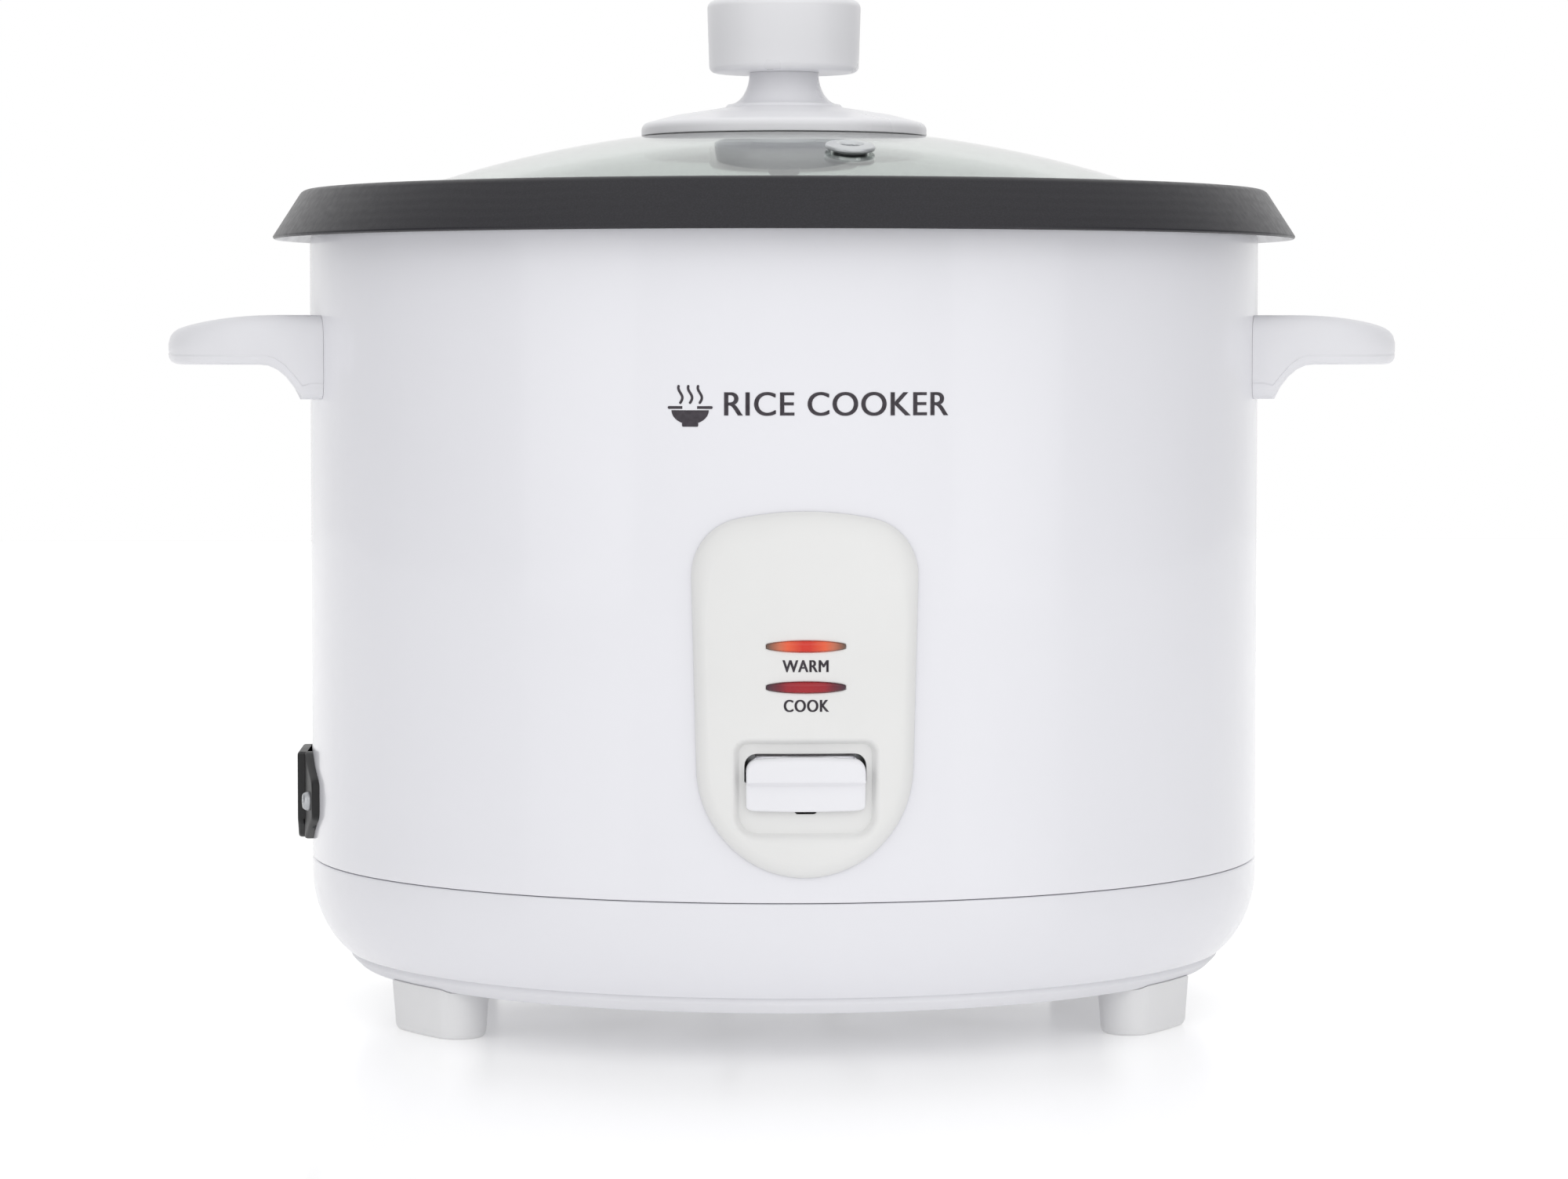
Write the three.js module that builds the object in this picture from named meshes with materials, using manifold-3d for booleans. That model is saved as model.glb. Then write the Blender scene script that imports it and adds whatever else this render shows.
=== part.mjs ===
// Drum rice cooker with a glass lid, in millimetres, +Z up.
// The origin is on the floor under the centre of the drum. The control panel faces -Y and the
// appliance inlet faces -X.
import * as THREE from 'three';
import { mergeVertices } from 'three/addons/utils/BufferGeometryUtils.js';
import Module from 'manifold-3d';

const wasm = await Module();
wasm.setup();

// ---------------------------------------------------------------- driving dimensions
const GAP = 0.3;
const SHEET = 1.2;
const ROUND = 48;

const DRUM_RADIUS = 126;
const DRUM_BOTTOM = 40.9;
const DRUM_TOP = 206;
const LINER_RADIUS = 119.4;
const LINER_BOTTOM = 72;
const PLATE_HOLE_RADIUS = 96;

const COVER_BOTTOM = 12.2;
const COVER_THICKNESS = 2;
const BOWL_BOTTOM = 16.4;
const BOWL_TOP = 40.4;
const FOOT_AZIMUTH = 32;
const FOOT_SPREAD = 10.4;
const FOOT_MIDDLE = 107;
const FOOT_DEPTH = 15;

const PLATE_TOP = 76;
const PLATE_BOTTOM = 66;
const PLATE_RADIUS = 92;
const PLATE_SCREW_RADIUS = 101;
const ELEMENT_RADIUS = 65;
const ELEMENT_TUBE = 3.3;
const ELEMENT_CLEARANCE = 1;
const SENSOR_RADIUS = 16.2;

const POT_RADIUS = 115.5;
const POT_WALL = 1.6;
const RIM_RADIUS = 135.7;
const RIM_BOTTOM = 204;
const RIM_TOP = 216.9;
const SEAT_Z = 208.6;

const DOME_RADIUS = 300;
const DOME_TOP = 233.9;
const GLASS = 4;
const GLASS_EDGE_RADIUS = 117.5;
const GLASS_EDGE_Z = 209.9;
const VENT_RADIUS = 72;
const VENT_AZIMUTH = -79;
const KNOB_CAP_RADIUS = 20.5;
const KNOB_CAP_BOTTOM = 248.5;
const OBJECT_TOP = 267.7;

const HANDLE_REACH = 163.6;
const HANDLE_TOP = 183.9;
const HANDLE_UNDERSIDE = 171;
const HANDLE_BOTTOM = 162;
const HANDLE_HALF_WIDTH = 36;
const HANDLE_SCREW_Z = 175;
const HANDLE_SCREW_ANGLE = 9;

const PANEL_WIDTH = 57;
const PANEL_BOTTOM_RADIUS = 27;
const PANEL_BOTTOM = 47.1;
const PANEL_TOP = 136;
const PANEL_FACE = 129.3;
const LENS_WIDTH = 19.9;
const LENS_HEIGHT = 3.4;
const WARM_LENS_Z = 103.1;
const COOK_LENS_Z = 93.1;
const POCKET = { half: 16.8, low: 57.6, high: 80.1, floor: 126.9, back: 125.7 };
const APERTURE = { half: 15.1, low: 63.7, high: 77.4, notchHalf: 4, notchLow: 62.3 };
const CAP = {
  half: 14.45, low: 63.4, crease: 70.1, high: 76.7, skirtBack: 127.3, skirt: 129.4, lip: 131.4,
  neckLow: 69, shieldFront: 122.4, shieldBack: 121.4, shieldHigh: 83,
};

const PIVOT = { y: -50, z: 46 };
const LEVER = { half: 4, thickness: 1.6, tongueZ: 70.2, tip: -126.6, end: 5 };
const BRACKET = { half: 8.4, front: -86, rear: -38, bottom: 30 };

const INLET_Z = 56.5;
const INLET_LOW = 45.5;
const INLET_HIGH = 68.6;
const INLET_FACE = 129.4;
const INLET_EAR_FACE = 127.9;
const INLET_HALF_WIDTH = 28.5;
const INLET_BLOCK_HALF = 13.5;
const INLET_SCREW_ANGLE = 10.5;

// ---------------------------------------------------------------- finishes
const FINISHES = {
  paint: { color: 0xeef0f4, roughness: 0.25, metalness: 0 },
  plastic: { color: 0xececef, roughness: 0.38, metalness: 0 },
  panel: { color: 0xe7e7e5, roughness: 0.45, metalness: 0 },
  nonstick: { color: 0x3d3c41, roughness: 0.55, metalness: 0.2 },
  glass: { color: 0xd3dad7, roughness: 0.05, metalness: 0, transparent: true, opacity: 0.4 },
  steel: { color: 0xb9bbbd, roughness: 0.3, metalness: 1 },
  galvanised: { color: 0xa9adb0, roughness: 0.45, metalness: 0.9 },
  aluminium: { color: 0xc4c6c8, roughness: 0.4, metalness: 0.9 },
  ferrite: { color: 0x2f3033, roughness: 0.7, metalness: 0.1 },
  black: { color: 0x1d1e20, roughness: 0.5, metalness: 0 },
  brass: { color: 0xc2a35a, roughness: 0.3, metalness: 1 },
  warm: { color: 0xd2491f, roughness: 0.2, metalness: 0 },
  cook: { color: 0x9c1622, roughness: 0.2, metalness: 0 },
  lampGlass: { color: 0xe6c7b0, roughness: 0.1, metalness: 0 },
  rubber: { color: 0x9a9c9e, roughness: 0.7, metalness: 0 },
  mica: { color: 0xb8a06a, roughness: 0.7, metalness: 0 },
  sleeve: { color: 0xe4e0d2, roughness: 0.8, metalness: 0 },
};

// ---------------------------------------------------------------- geometry helpers
const radians = THREE.MathUtils.degToRad;

function signedVolume(position, index) {
  const corners = [new THREE.Vector3(), new THREE.Vector3(), new THREE.Vector3()];
  let volume = 0;
  for (let i = 0; i < index.length; i += 3) {
    corners.forEach((corner, k) => corner.fromBufferAttribute(position, index[i + k]));
    volume += corners[0].dot(corners[1].cross(corners[2]));
  }
  return volume;
}

// Welds a geometry into one closed skin with its faces pointing out.
function closed(geometry) {
  const bare = new THREE.BufferGeometry();
  bare.setAttribute('position', geometry.getAttribute('position'));
  bare.setIndex(geometry.index);
  const welded = mergeVertices(bare, 1e-4);
  const source = welded.index.array;
  const kept = [];
  for (let i = 0; i < source.length; i += 3) {
    const [a, b, c] = source.slice(i, i + 3);
    if (a !== b && b !== c && a !== c) kept.push(a, b, c);
  }
  if (signedVolume(welded.getAttribute('position'), kept) < 0) kept.reverse();
  welded.setIndex(kept);
  return welded;
}

function toManifold(geometry) {
  const skin = closed(geometry);
  return new wasm.Manifold(new wasm.Mesh({
    numProp: 3,
    vertProperties: new Float32Array(skin.getAttribute('position').array),
    triVerts: new Uint32Array(skin.index.array),
  }));
}

function toGeometry(manifold) {
  const mesh = manifold.getMesh();
  const geometry = new THREE.BufferGeometry();
  geometry.setAttribute('position', new THREE.BufferAttribute(mesh.vertProperties, 3));
  geometry.setIndex(new THREE.BufferAttribute(mesh.triVerts, 1));
  return geometry;
}

function cut(base, ...tools) {
  const left = tools.reduce((rest, tool) => rest.subtract(toManifold(tool)), toManifold(base));
  return toGeometry(left);
}

function join(base, ...others) {
  const whole = others.reduce((sum, other) => sum.add(toManifold(other)), toManifold(base));
  return toGeometry(whole);
}

function common(base, other) {
  return toGeometry(toManifold(base).intersect(toManifold(other)));
}

// Turns a profile of [radius, z] points about the Z axis. A profile that stays off the axis is a
// ring section and is closed on itself.
function revolve(profile, segments = ROUND) {
  const points = profile.map(([r, z]) => new THREE.Vector2(r, z));
  const onAxis = profile[0][0] === 0 && profile[profile.length - 1][0] === 0;
  if (THREE.ShapeUtils.area(points) < 0) points.reverse();
  if (!onAxis) points.push(points[0].clone());
  return new THREE.LatheGeometry(points, segments).rotateX(Math.PI / 2);
}

function block(low, high) {
  const [width, depth, height] = high.map((value, k) => value - low[k]);
  const centre = high.map((value, k) => (value + low[k]) / 2);
  return new THREE.BoxGeometry(width, depth, height).translate(...centre);
}

// A straight round bar between two points.
function rod(radius, from, to, segments = 12) {
  const start = new THREE.Vector3(...from);
  const span = new THREE.Vector3(...to).sub(start);
  const turn = new THREE.Quaternion();
  turn.setFromUnitVectors(new THREE.Vector3(0, 1, 0), span.clone().normalize());
  const middle = start.addScaledVector(span, 0.5);
  return new THREE.CylinderGeometry(radius, radius, span.length(), segments)
    .applyQuaternion(turn)
    .translate(middle.x, middle.y, middle.z);
}

function polygon(points) {
  return new THREE.Shape(points.map(([x, y]) => new THREE.Vector2(x, y)));
}

function extrude(shape, depth, curveSegments = 8) {
  return new THREE.ExtrudeGeometry(shape, { depth, curveSegments, bevelEnabled: false });
}

// Extrudes an outline drawn in (x, z) along Y, from yLow to yHigh.
function extrudeAlongY(shape, yLow, yHigh, curveSegments) {
  return extrude(shape, yHigh - yLow, curveSegments).rotateX(Math.PI / 2).translate(0, yHigh, 0);
}

// Extrudes an outline drawn in (y, z) along X, centred on x = 0.
function extrudeAlongX(shape, width, curveSegments) {
  const axes = new THREE.Matrix4().makeBasis(
    new THREE.Vector3(0, 1, 0),
    new THREE.Vector3(0, 0, 1),
    new THREE.Vector3(1, 0, 0),
  );
  return extrude(shape, width, curveSegments).applyMatrix4(axes).translate(-width / 2, 0, 0);
}

function tube(path, radius, steps, sides) {
  const section = new THREE.Shape().absarc(0, 0, radius, 0, 2 * Math.PI, false);
  return new THREE.ExtrudeGeometry(section, {
    steps,
    curveSegments: sides / 2,
    bevelEnabled: false,
    extrudePath: path,
  });
}

class Helix extends THREE.Curve {
  constructor(radius, low, high, turns) {
    super();
    Object.assign(this, { radius, low, high, turns });
  }

  getPoint(t, target = new THREE.Vector3()) {
    const angle = 2 * Math.PI * this.turns * t;
    const z = this.low + (this.high - this.low) * t;
    return target.set(this.radius * Math.cos(angle), this.radius * Math.sin(angle), z);
  }
}

function spring(radius, wire, low, high, turns) {
  return tube(new Helix(radius, low + wire, high - wire, turns), wire, turns * 12, 6);
}

// A pan-head screw with its head's underside at the origin and its shank along -Z.
function screw(headRadius, headHeight, shankRadius, shankLength) {
  return revolve([
    [0, -shankLength],
    [shankRadius, -shankLength],
    [shankRadius, 0],
    [headRadius, 0],
    [headRadius * 0.8, headHeight],
    [0, headHeight],
  ], 8);
}

function domeZ(radius, thickness = 0) {
  const sphere = DOME_RADIUS - thickness;
  return DOME_TOP - DOME_RADIUS + Math.sqrt(sphere ** 2 - radius ** 2);
}

// ---------------------------------------------------------------- scene graph
const cooker = new THREE.Group();

function group(parent = cooker) {
  const child = new THREE.Group();
  parent.add(child);
  return child;
}

function add(parent, name, finish, geometry) {
  const mesh = new THREE.Mesh(closed(geometry), new THREE.MeshStandardMaterial(FINISHES[finish]));
  mesh.name = name;
  parent.add(mesh);
  return mesh;
}

// ---------------------------------------------------------------- housing
function bodyShell() {
  const inner = DRUM_RADIUS - SHEET;
  const sheet = revolve([
    [DRUM_RADIUS, DRUM_BOTTOM],
    [DRUM_RADIUS, DRUM_TOP - 1.5],
    [DRUM_RADIUS - 1.1, DRUM_TOP],
    [LINER_RADIUS + 1.6, DRUM_TOP],
    [LINER_RADIUS + 1.6, DRUM_TOP - SHEET],
    [inner, DRUM_TOP - SHEET],
    [inner, DRUM_BOTTOM],
  ]);
  const panelWindow = block([-18.6, -140, 56], [18.6, -110, 112]);
  const inletWindow = block([-140, -14.1, 46], [-110, 14.1, 67]);
  return cut(sheet, panelWindow, inletWindow, ...inletScrewHoles(2), ...handleScrewHoles(2.3));
}

function inletScrewHoles(radius) {
  return [-1, 1].map((side) => {
    const angle = radians(180 + side * INLET_SCREW_ANGLE);
    const direction = [Math.cos(angle), Math.sin(angle)];
    const near = direction.map((value) => value * 112);
    const far = direction.map((value) => value * 140);
    return rod(radius, [...near, INLET_Z], [...far, INLET_Z]);
  });
}

function handleScrewAngles() {
  const angles = [-HANDLE_SCREW_ANGLE, HANDLE_SCREW_ANGLE];
  return [...angles, ...angles.map((angle) => angle + 180)];
}

function handleScrewHoles(radius) {
  return handleScrewAngles().map((angle) => {
    const direction = [Math.cos(radians(angle)), Math.sin(radians(angle))];
    const near = direction.map((value) => value * 110);
    const far = direction.map((value) => value * 133);
    return rod(radius, [...near, HANDLE_SCREW_Z], [...far, HANDLE_SCREW_Z], 10);
  });
}

function innerLiner() {
  const inner = LINER_RADIUS - SHEET;
  const flangeTop = DRUM_TOP - SHEET - GAP;
  const casing = revolve([
    [PLATE_HOLE_RADIUS, LINER_BOTTOM],
    [LINER_RADIUS, LINER_BOTTOM],
    [LINER_RADIUS, flangeTop - SHEET],
    [DRUM_RADIUS - SHEET - 1, flangeTop - SHEET],
    [DRUM_RADIUS - SHEET - 1, flangeTop],
    [inner, flangeTop],
    [inner, LINER_BOTTOM + SHEET],
    [PLATE_HOLE_RADIUS, LINER_BOTTOM + SHEET],
  ]);
  const holes = plateScrewPlaces().map(([x, y]) => rod(2.2, [x, y, 60], [x, y, 80], 10));
  return cut(casing, ...holes);
}

function baseBowl() {
  const bowl = revolve([
    [100, BOWL_BOTTOM],
    [DRUM_RADIUS - 10.8, BOWL_BOTTOM],
    [DRUM_RADIUS - 5.4, 21.5],
    [DRUM_RADIUS - 2.5, 26],
    [DRUM_RADIUS - 0.7, 31],
    [DRUM_RADIUS, 37],
    [DRUM_RADIUS, BOWL_TOP],
    [DRUM_RADIUS - SHEET - GAP, BOWL_TOP],
    [DRUM_RADIUS - SHEET - GAP, BOWL_TOP + 5],
    [DRUM_RADIUS - 2.8, BOWL_TOP + 5],
    [DRUM_RADIUS - 2.8, 32],
    [113.6, 18.1],
    [100, 18.1],
  ]);
  const holes = footScrewPlaces().map(([x, y]) => rod(2.2, [x, y, 5], [x, y, 22], 10));
  return cut(bowl, ...holes);
}

function footAngles() {
  return {
    front_right: -FOOT_AZIMUTH,
    front_left: FOOT_AZIMUTH - 180,
    rear_left: 180 - FOOT_AZIMUTH,
    rear_right: FOOT_AZIMUTH,
  };
}

function footScrewPlaces() {
  return Object.values(footAngles()).map((angle) => [
    FOOT_MIDDLE * Math.cos(radians(angle)),
    FOOT_MIDDLE * Math.sin(radians(angle)),
  ]);
}

function bottomCover() {
  const pan = revolve([
    [0, COVER_BOTTOM],
    [110.5, COVER_BOTTOM],
    [114.6, BOWL_BOTTOM - 1],
    [114.6, BOWL_BOTTOM - GAP],
    [112.8, BOWL_BOTTOM - GAP],
    [109.6, COVER_BOTTOM + COVER_THICKNESS],
    [0, COVER_BOTTOM + COVER_THICKNESS],
  ]);
  const slots = [];
  for (let k = 0; k < 12; k += 1) {
    slots.push(block([48, -2.5, 5], [78, 2.5, 20]).rotateZ(radians(30 * k + 15)));
  }
  const holes = footScrewPlaces().map(([x, y]) => rod(2.2, [x, y, 5], [x, y, 22], 10));
  return cut(pan, ...slots, ...holes);
}

// One foot, centred on the +X axis: a bar along the rim with round ends, narrower at the floor.
function foot() {
  const end = FOOT_DEPTH / 2;
  const half = radians(FOOT_SPREAD / 2);
  const [x, y] = [FOOT_MIDDLE * Math.cos(half), FOOT_MIDDLE * Math.sin(half)];
  const shape = new THREE.Shape();
  shape.absarc(0, 0, FOOT_MIDDLE + end, -half, half, false);
  shape.absarc(x, y, end, half, Math.PI + half, false);
  shape.absarc(0, 0, FOOT_MIDDLE - end, half, -half, true);
  shape.absarc(x, -y, end, Math.PI - half, 2 * Math.PI - half, false);
  const height = COVER_BOTTOM - GAP;
  const solid = extrude(shape, height, 8);
  const position = solid.getAttribute('position');
  for (let i = 0; i < position.count; i += 1) {
    const shrink = 1 - 0.08 * (1 - position.getZ(i) / height);
    const reach = position.getX(i) - FOOT_MIDDLE;
    position.setXY(i, FOOT_MIDDLE + reach * shrink, position.getY(i) * shrink);
  }
  const recess = rod(4.5, [FOOT_MIDDLE, 0, -1], [FOOT_MIDDLE, 0, 6.3]);
  const hole = rod(2.2, [FOOT_MIDDLE, 0, 5], [FOOT_MIDDLE, 0, 15], 10);
  return cut(solid, recess, hole);
}

// One handle, on the +X side: a shelf with a hollow underside and a plate that hugs the drum.
function handle() {
  const side = new THREE.Shape();
  side.moveTo(110, HANDLE_BOTTOM);
  side.lineTo(128, HANDLE_BOTTOM);
  side.quadraticCurveTo(129, HANDLE_UNDERSIDE, 137, HANDLE_UNDERSIDE);
  side.lineTo(HANDLE_REACH - 4, HANDLE_UNDERSIDE);
  side.quadraticCurveTo(HANDLE_REACH, HANDLE_UNDERSIDE, HANDLE_REACH, HANDLE_UNDERSIDE + 4);
  side.quadraticCurveTo(HANDLE_REACH - 1, 179.6, HANDLE_REACH - 8, 181);
  side.quadraticCurveTo(146, HANDLE_TOP, 132, HANDLE_TOP);
  side.lineTo(110, HANDLE_TOP);
  const bar = extrudeAlongY(side, -HANDLE_HALF_WIDTH - 4, HANDLE_HALF_WIDTH + 4, 5);

  const plan = new THREE.Shape();
  plan.moveTo(110, -HANDLE_HALF_WIDTH);
  plan.lineTo(124, -HANDLE_HALF_WIDTH);
  plan.bezierCurveTo(140, -HANDLE_HALF_WIDTH + 1, HANDLE_REACH, -30, HANDLE_REACH, 0);
  plan.bezierCurveTo(HANDLE_REACH, 30, 140, HANDLE_HALF_WIDTH - 1, 124, HANDLE_HALF_WIDTH);
  plan.lineTo(110, HANDLE_HALF_WIDTH);
  const outline = extrude(plan, 40, 8).translate(0, 0, 150);

  const hollow = new THREE.Shape();
  hollow.moveTo(133, -28);
  hollow.bezierCurveTo(146, -28, HANDLE_REACH - 4, -18, HANDLE_REACH - 4, 0);
  hollow.bezierCurveTo(HANDLE_REACH - 4, 18, 146, 28, 133, 28);
  const pocket = extrude(hollow, 19, 6).translate(0, 0, 159);

  const drum = rod(DRUM_RADIUS + GAP, [0, 0, 150], [0, 0, 200], ROUND);
  const bores = handleScrewAngles().slice(0, 2).map((angle) => {
    const direction = [Math.cos(radians(angle)), Math.sin(radians(angle))];
    const near = direction.map((value) => value * 120);
    const far = direction.map((value) => value * 132);
    return rod(2.1, [...near, HANDLE_SCREW_Z], [...far, HANDLE_SCREW_Z], 10);
  });
  return cut(common(bar, outline), drum, pocket, ...bores);
}

function addHousing() {
  const housing = group();
  add(housing, 'body_shell', 'paint', bodyShell());
  add(housing, 'inner_liner', 'galvanised', innerLiner());
  add(housing, 'base_bowl', 'paint', baseBowl());
  add(housing, 'bottom_cover', 'plastic', bottomCover());

  const footGeometry = foot();
  const footScrew = screw(3.6, 2.2, 1.8, 14).rotateX(Math.PI);
  for (const [place, angle] of Object.entries(footAngles())) {
    const corner = group(housing);
    corner.rotation.z = radians(angle);
    add(corner, `foot_${place}`, 'plastic', footGeometry);
    const fastener = add(corner, `foot_screw_${place}`, 'steel', footScrew);
    fastener.position.set(FOOT_MIDDLE, 0, 6);
  }

  const handleGeometry = handle();
  const handleScrew = screw(3.6, 2, 1.8, 7).rotateY(-Math.PI / 2);
  for (const [name, angle] of [['right', 0], ['left', 180]]) {
    const holder = group(housing);
    holder.rotation.z = radians(angle);
    add(holder, `${name}_handle`, 'plastic', handleGeometry);
    [-1, 1].forEach((sign, k) => {
      const arm = group(holder);
      arm.rotation.z = radians(sign * HANDLE_SCREW_ANGLE);
      const fastener = add(arm, `${name}_handle_screw_${k + 1}`, 'steel', handleScrew);
      fastener.position.set(DRUM_RADIUS - SHEET - GAP, 0, HANDLE_SCREW_Z);
    });
  }
  return housing;
}

// ---------------------------------------------------------------- control panel and lamps
function panelOutline() {
  const half = PANEL_WIDTH / 2;
  const low = PANEL_BOTTOM_RADIUS;
  const shape = new THREE.Shape();
  shape.absarc(0, PANEL_BOTTOM + low, low, Math.PI, 2 * Math.PI, false);
  shape.lineTo(half, PANEL_TOP - 18);
  shape.quadraticCurveTo(half - 0.7, PANEL_TOP - 3, half - 14, PANEL_TOP - 1.2);
  shape.quadraticCurveTo(0, PANEL_TOP + 1.2, 14 - half, PANEL_TOP - 1.2);
  shape.quadraticCurveTo(0.7 - half, PANEL_TOP - 3, -half, PANEL_TOP - 18);
  return shape;
}

function lensOutline(z, grow) {
  const half = LENS_WIDTH / 2 + grow;
  const high = LENS_HEIGHT / 2 + grow;
  const shape = new THREE.Shape();
  shape.moveTo(-half, z - high * 0.35);
  shape.quadraticCurveTo(-half * 0.6, z - high, 0, z - high);
  shape.quadraticCurveTo(half * 0.6, z - high, half, z - high * 0.35);
  shape.lineTo(half, z + high * 0.35);
  shape.quadraticCurveTo(half * 0.6, z + high, 0, z + high);
  shape.quadraticCurveTo(-half * 0.6, z + high, -half, z + high * 0.35);
  return shape;
}

function ring(inner, outer, low, high) {
  return revolve([[inner, low], [outer, low], [outer, high], [inner, high]], ROUND * 2);
}

// A block on the front of the drum whose front and back faces follow the drum.
function curvedBlock(half, low, high, inner, outer) {
  return common(block([-half, -140, low], [half, -100, high]), ring(inner, outer, low - 2, high + 2));
}

// The panel has a shallow pocket around the switch, and the cap's neck passes through an aperture
// in its floor. A notch under the aperture clears the lever.
function controlPanel() {
  const plate = common(
    extrudeAlongY(panelOutline(), -140, -100, 8),
    ring(DRUM_RADIUS + GAP, PANEL_FACE, PANEL_BOTTOM - 2, PANEL_TOP + 3),
  );
  const { half, low, high, floor, back } = POCKET;
  const tray = curvedBlock(half + SHEET, low - SHEET, high + SHEET, back, floor + 1);
  const hollow = curvedBlock(half, low, high, floor, PANEL_FACE + 2);
  const aperture = block([-APERTURE.half, -140, APERTURE.low], [APERTURE.half, -110, APERTURE.high]);
  const notch = block([-APERTURE.notchHalf, -140, APERTURE.notchLow], [APERTURE.notchHalf, -110, 70]);
  const windows = [WARM_LENS_Z, COOK_LENS_Z].map(
    (z) => extrudeAlongY(lensOutline(z, GAP), -140, -120, 4),
  );
  return cut(join(plate, tray), hollow, aperture, notch, ...windows);
}

function lens(z) {
  return extrudeAlongY(lensOutline(z, 0), -PANEL_FACE - 0.5, -125.5, 4);
}

function addFront(housing) {
  add(housing, 'control_panel', 'panel', controlPanel());
  add(housing, 'warm_lens', 'warm', lens(WARM_LENS_Z));
  add(housing, 'cook_lens', 'cook', lens(COOK_LENS_Z));
  add(housing, 'lamp_holder', 'sleeve', block([-12, -121.2, 84], [12, -120, 110]));
  for (const [name, z] of [['warm_lamp', WARM_LENS_Z], ['cook_lamp', COOK_LENS_Z]]) {
    add(housing, name, 'lampGlass', rod(1.7, [-7, -123.3, z], [7, -123.3, z], 10));
  }
}

// ---------------------------------------------------------------- heating and thermostat
function plateScrewPlaces() {
  return [90, 210, 330].map((angle) => [
    PLATE_SCREW_RADIUS * Math.cos(radians(angle)),
    PLATE_SCREW_RADIUS * Math.sin(radians(angle)),
  ]);
}

function heatingPlate() {
  const hole = SENSOR_RADIUS + 1.8;
  const disc = revolve([
    [hole, PLATE_BOTTOM],
    [PLATE_RADIUS - 3, PLATE_BOTTOM],
    [PLATE_RADIUS, PLATE_BOTTOM + 3],
    [PLATE_RADIUS, PLATE_TOP - 2],
    [PLATE_RADIUS - 2, PLATE_TOP],
    [hole, PLATE_TOP],
  ]);
  const lugs = [90, 210, 330].map(
    (angle) => block([84, -8, PLATE_BOTTOM + 1], [107, 8, 71.7]).rotateZ(radians(angle)),
  );
  const holes = plateScrewPlaces().map(([x, y]) => rod(2.2, [x, y, 60], [x, y, 80], 10));
  return cut(join(disc, ...lugs), ...holes);
}

// The element is a horseshoe open towards the panel, with its ends turned down as terminals.
function heatingElement() {
  const z = PLATE_BOTTOM - ELEMENT_CLEARANCE - ELEMENT_TUBE;
  const points = [];
  for (let angle = -64; angle <= 244; angle += 14) {
    const [x, y] = [Math.cos(radians(angle)), Math.sin(radians(angle))];
    points.push(new THREE.Vector3(x * ELEMENT_RADIUS, y * ELEMENT_RADIUS, z));
  }
  const drop = (point) => new THREE.Vector3(point.x * 0.93, point.y * 1.02, z - 11);
  points.unshift(drop(points[0]));
  points.push(drop(points[points.length - 1]));
  return tube(new THREE.CatmullRomCurve3(points, false, 'centripetal'), ELEMENT_TUBE, 40, 8);
}

function sensorCap() {
  return revolve([
    [0, PLATE_TOP],
    [SENSOR_RADIUS - 0.8, PLATE_TOP],
    [SENSOR_RADIUS, PLATE_TOP - 0.8],
    [SENSOR_RADIUS, 58.5],
    [SENSOR_RADIUS - SHEET, 58.5],
    [SENSOR_RADIUS - SHEET, PLATE_TOP - SHEET],
    [0, PLATE_TOP - SHEET],
  ], 24);
}

function sensorBracket() {
  const [half, wall, floor] = [34, SHEET, 51];
  const top = PLATE_BOTTOM - GAP;
  const profile = polygon([
    [-half - 7, top], [-half - 7, top - wall], [-half, top - wall], [-half, floor],
    [half, floor], [half, top - wall], [half + 7, top - wall], [half + 7, top],
    [half - wall, top], [half - wall, floor + wall], [wall - half, floor + wall], [wall - half, top],
  ]);
  const hole = rod(5.5, [0, 0, 40], [0, 0, 60], 16);
  return cut(extrudeAlongY(profile, -17, 17), hole);
}

function magnetHolder() {
  return revolve([[0, 47.4], [2.5, 47.4], [2.5, 55.7], [14, 55.7], [14, 57], [0, 57]], 20);
}

function disc(radius, low, high) {
  return revolve([[0, low], [radius, low], [radius, high], [0, high]], 24);
}

function addHeating(housing) {
  add(housing, 'heating_plate', 'aluminium', heatingPlate());
  add(housing, 'heating_element', 'steel', heatingElement());
  plateScrewPlaces().forEach(([x, y], k) => {
    const fastener = add(housing, `plate_screw_${k + 1}`, 'steel',
      screw(3.8, 2.2, 1.8, 8).rotateX(Math.PI));
    fastener.position.set(x, y, PLATE_BOTTOM + 1 - GAP);
  });
  add(housing, 'keep_warm_heater', 'mica', block([-20, 32, 61.2], [20, 46, 65.7]));
  add(housing, 'thermal_fuse', 'sleeve', rod(2.8, [49, -13, 62.6], [49, 13, 62.6], 12));
  add(housing, 'sensor_bracket', 'galvanised', sensorBracket());
  add(housing, 'sensor_spring', 'steel', spring(15.7, 0.6, 52.5, 58.2, 2));
  add(housing, 'release_spring', 'steel', spring(12.5, 0.5, 57.3, 68, 4));

  const sensor = group();
  add(sensor, 'sensor_cap', 'aluminium', sensorCap());
  add(sensor, 'ferrite_disc', 'ferrite', disc(14.6, 68.3, 74.5));

  const magnet = group();
  add(magnet, 'magnet_holder', 'steel', magnetHolder());
  add(magnet, 'magnet_disc', 'ferrite', disc(10.5, 57.3, 63.8));
}

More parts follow.
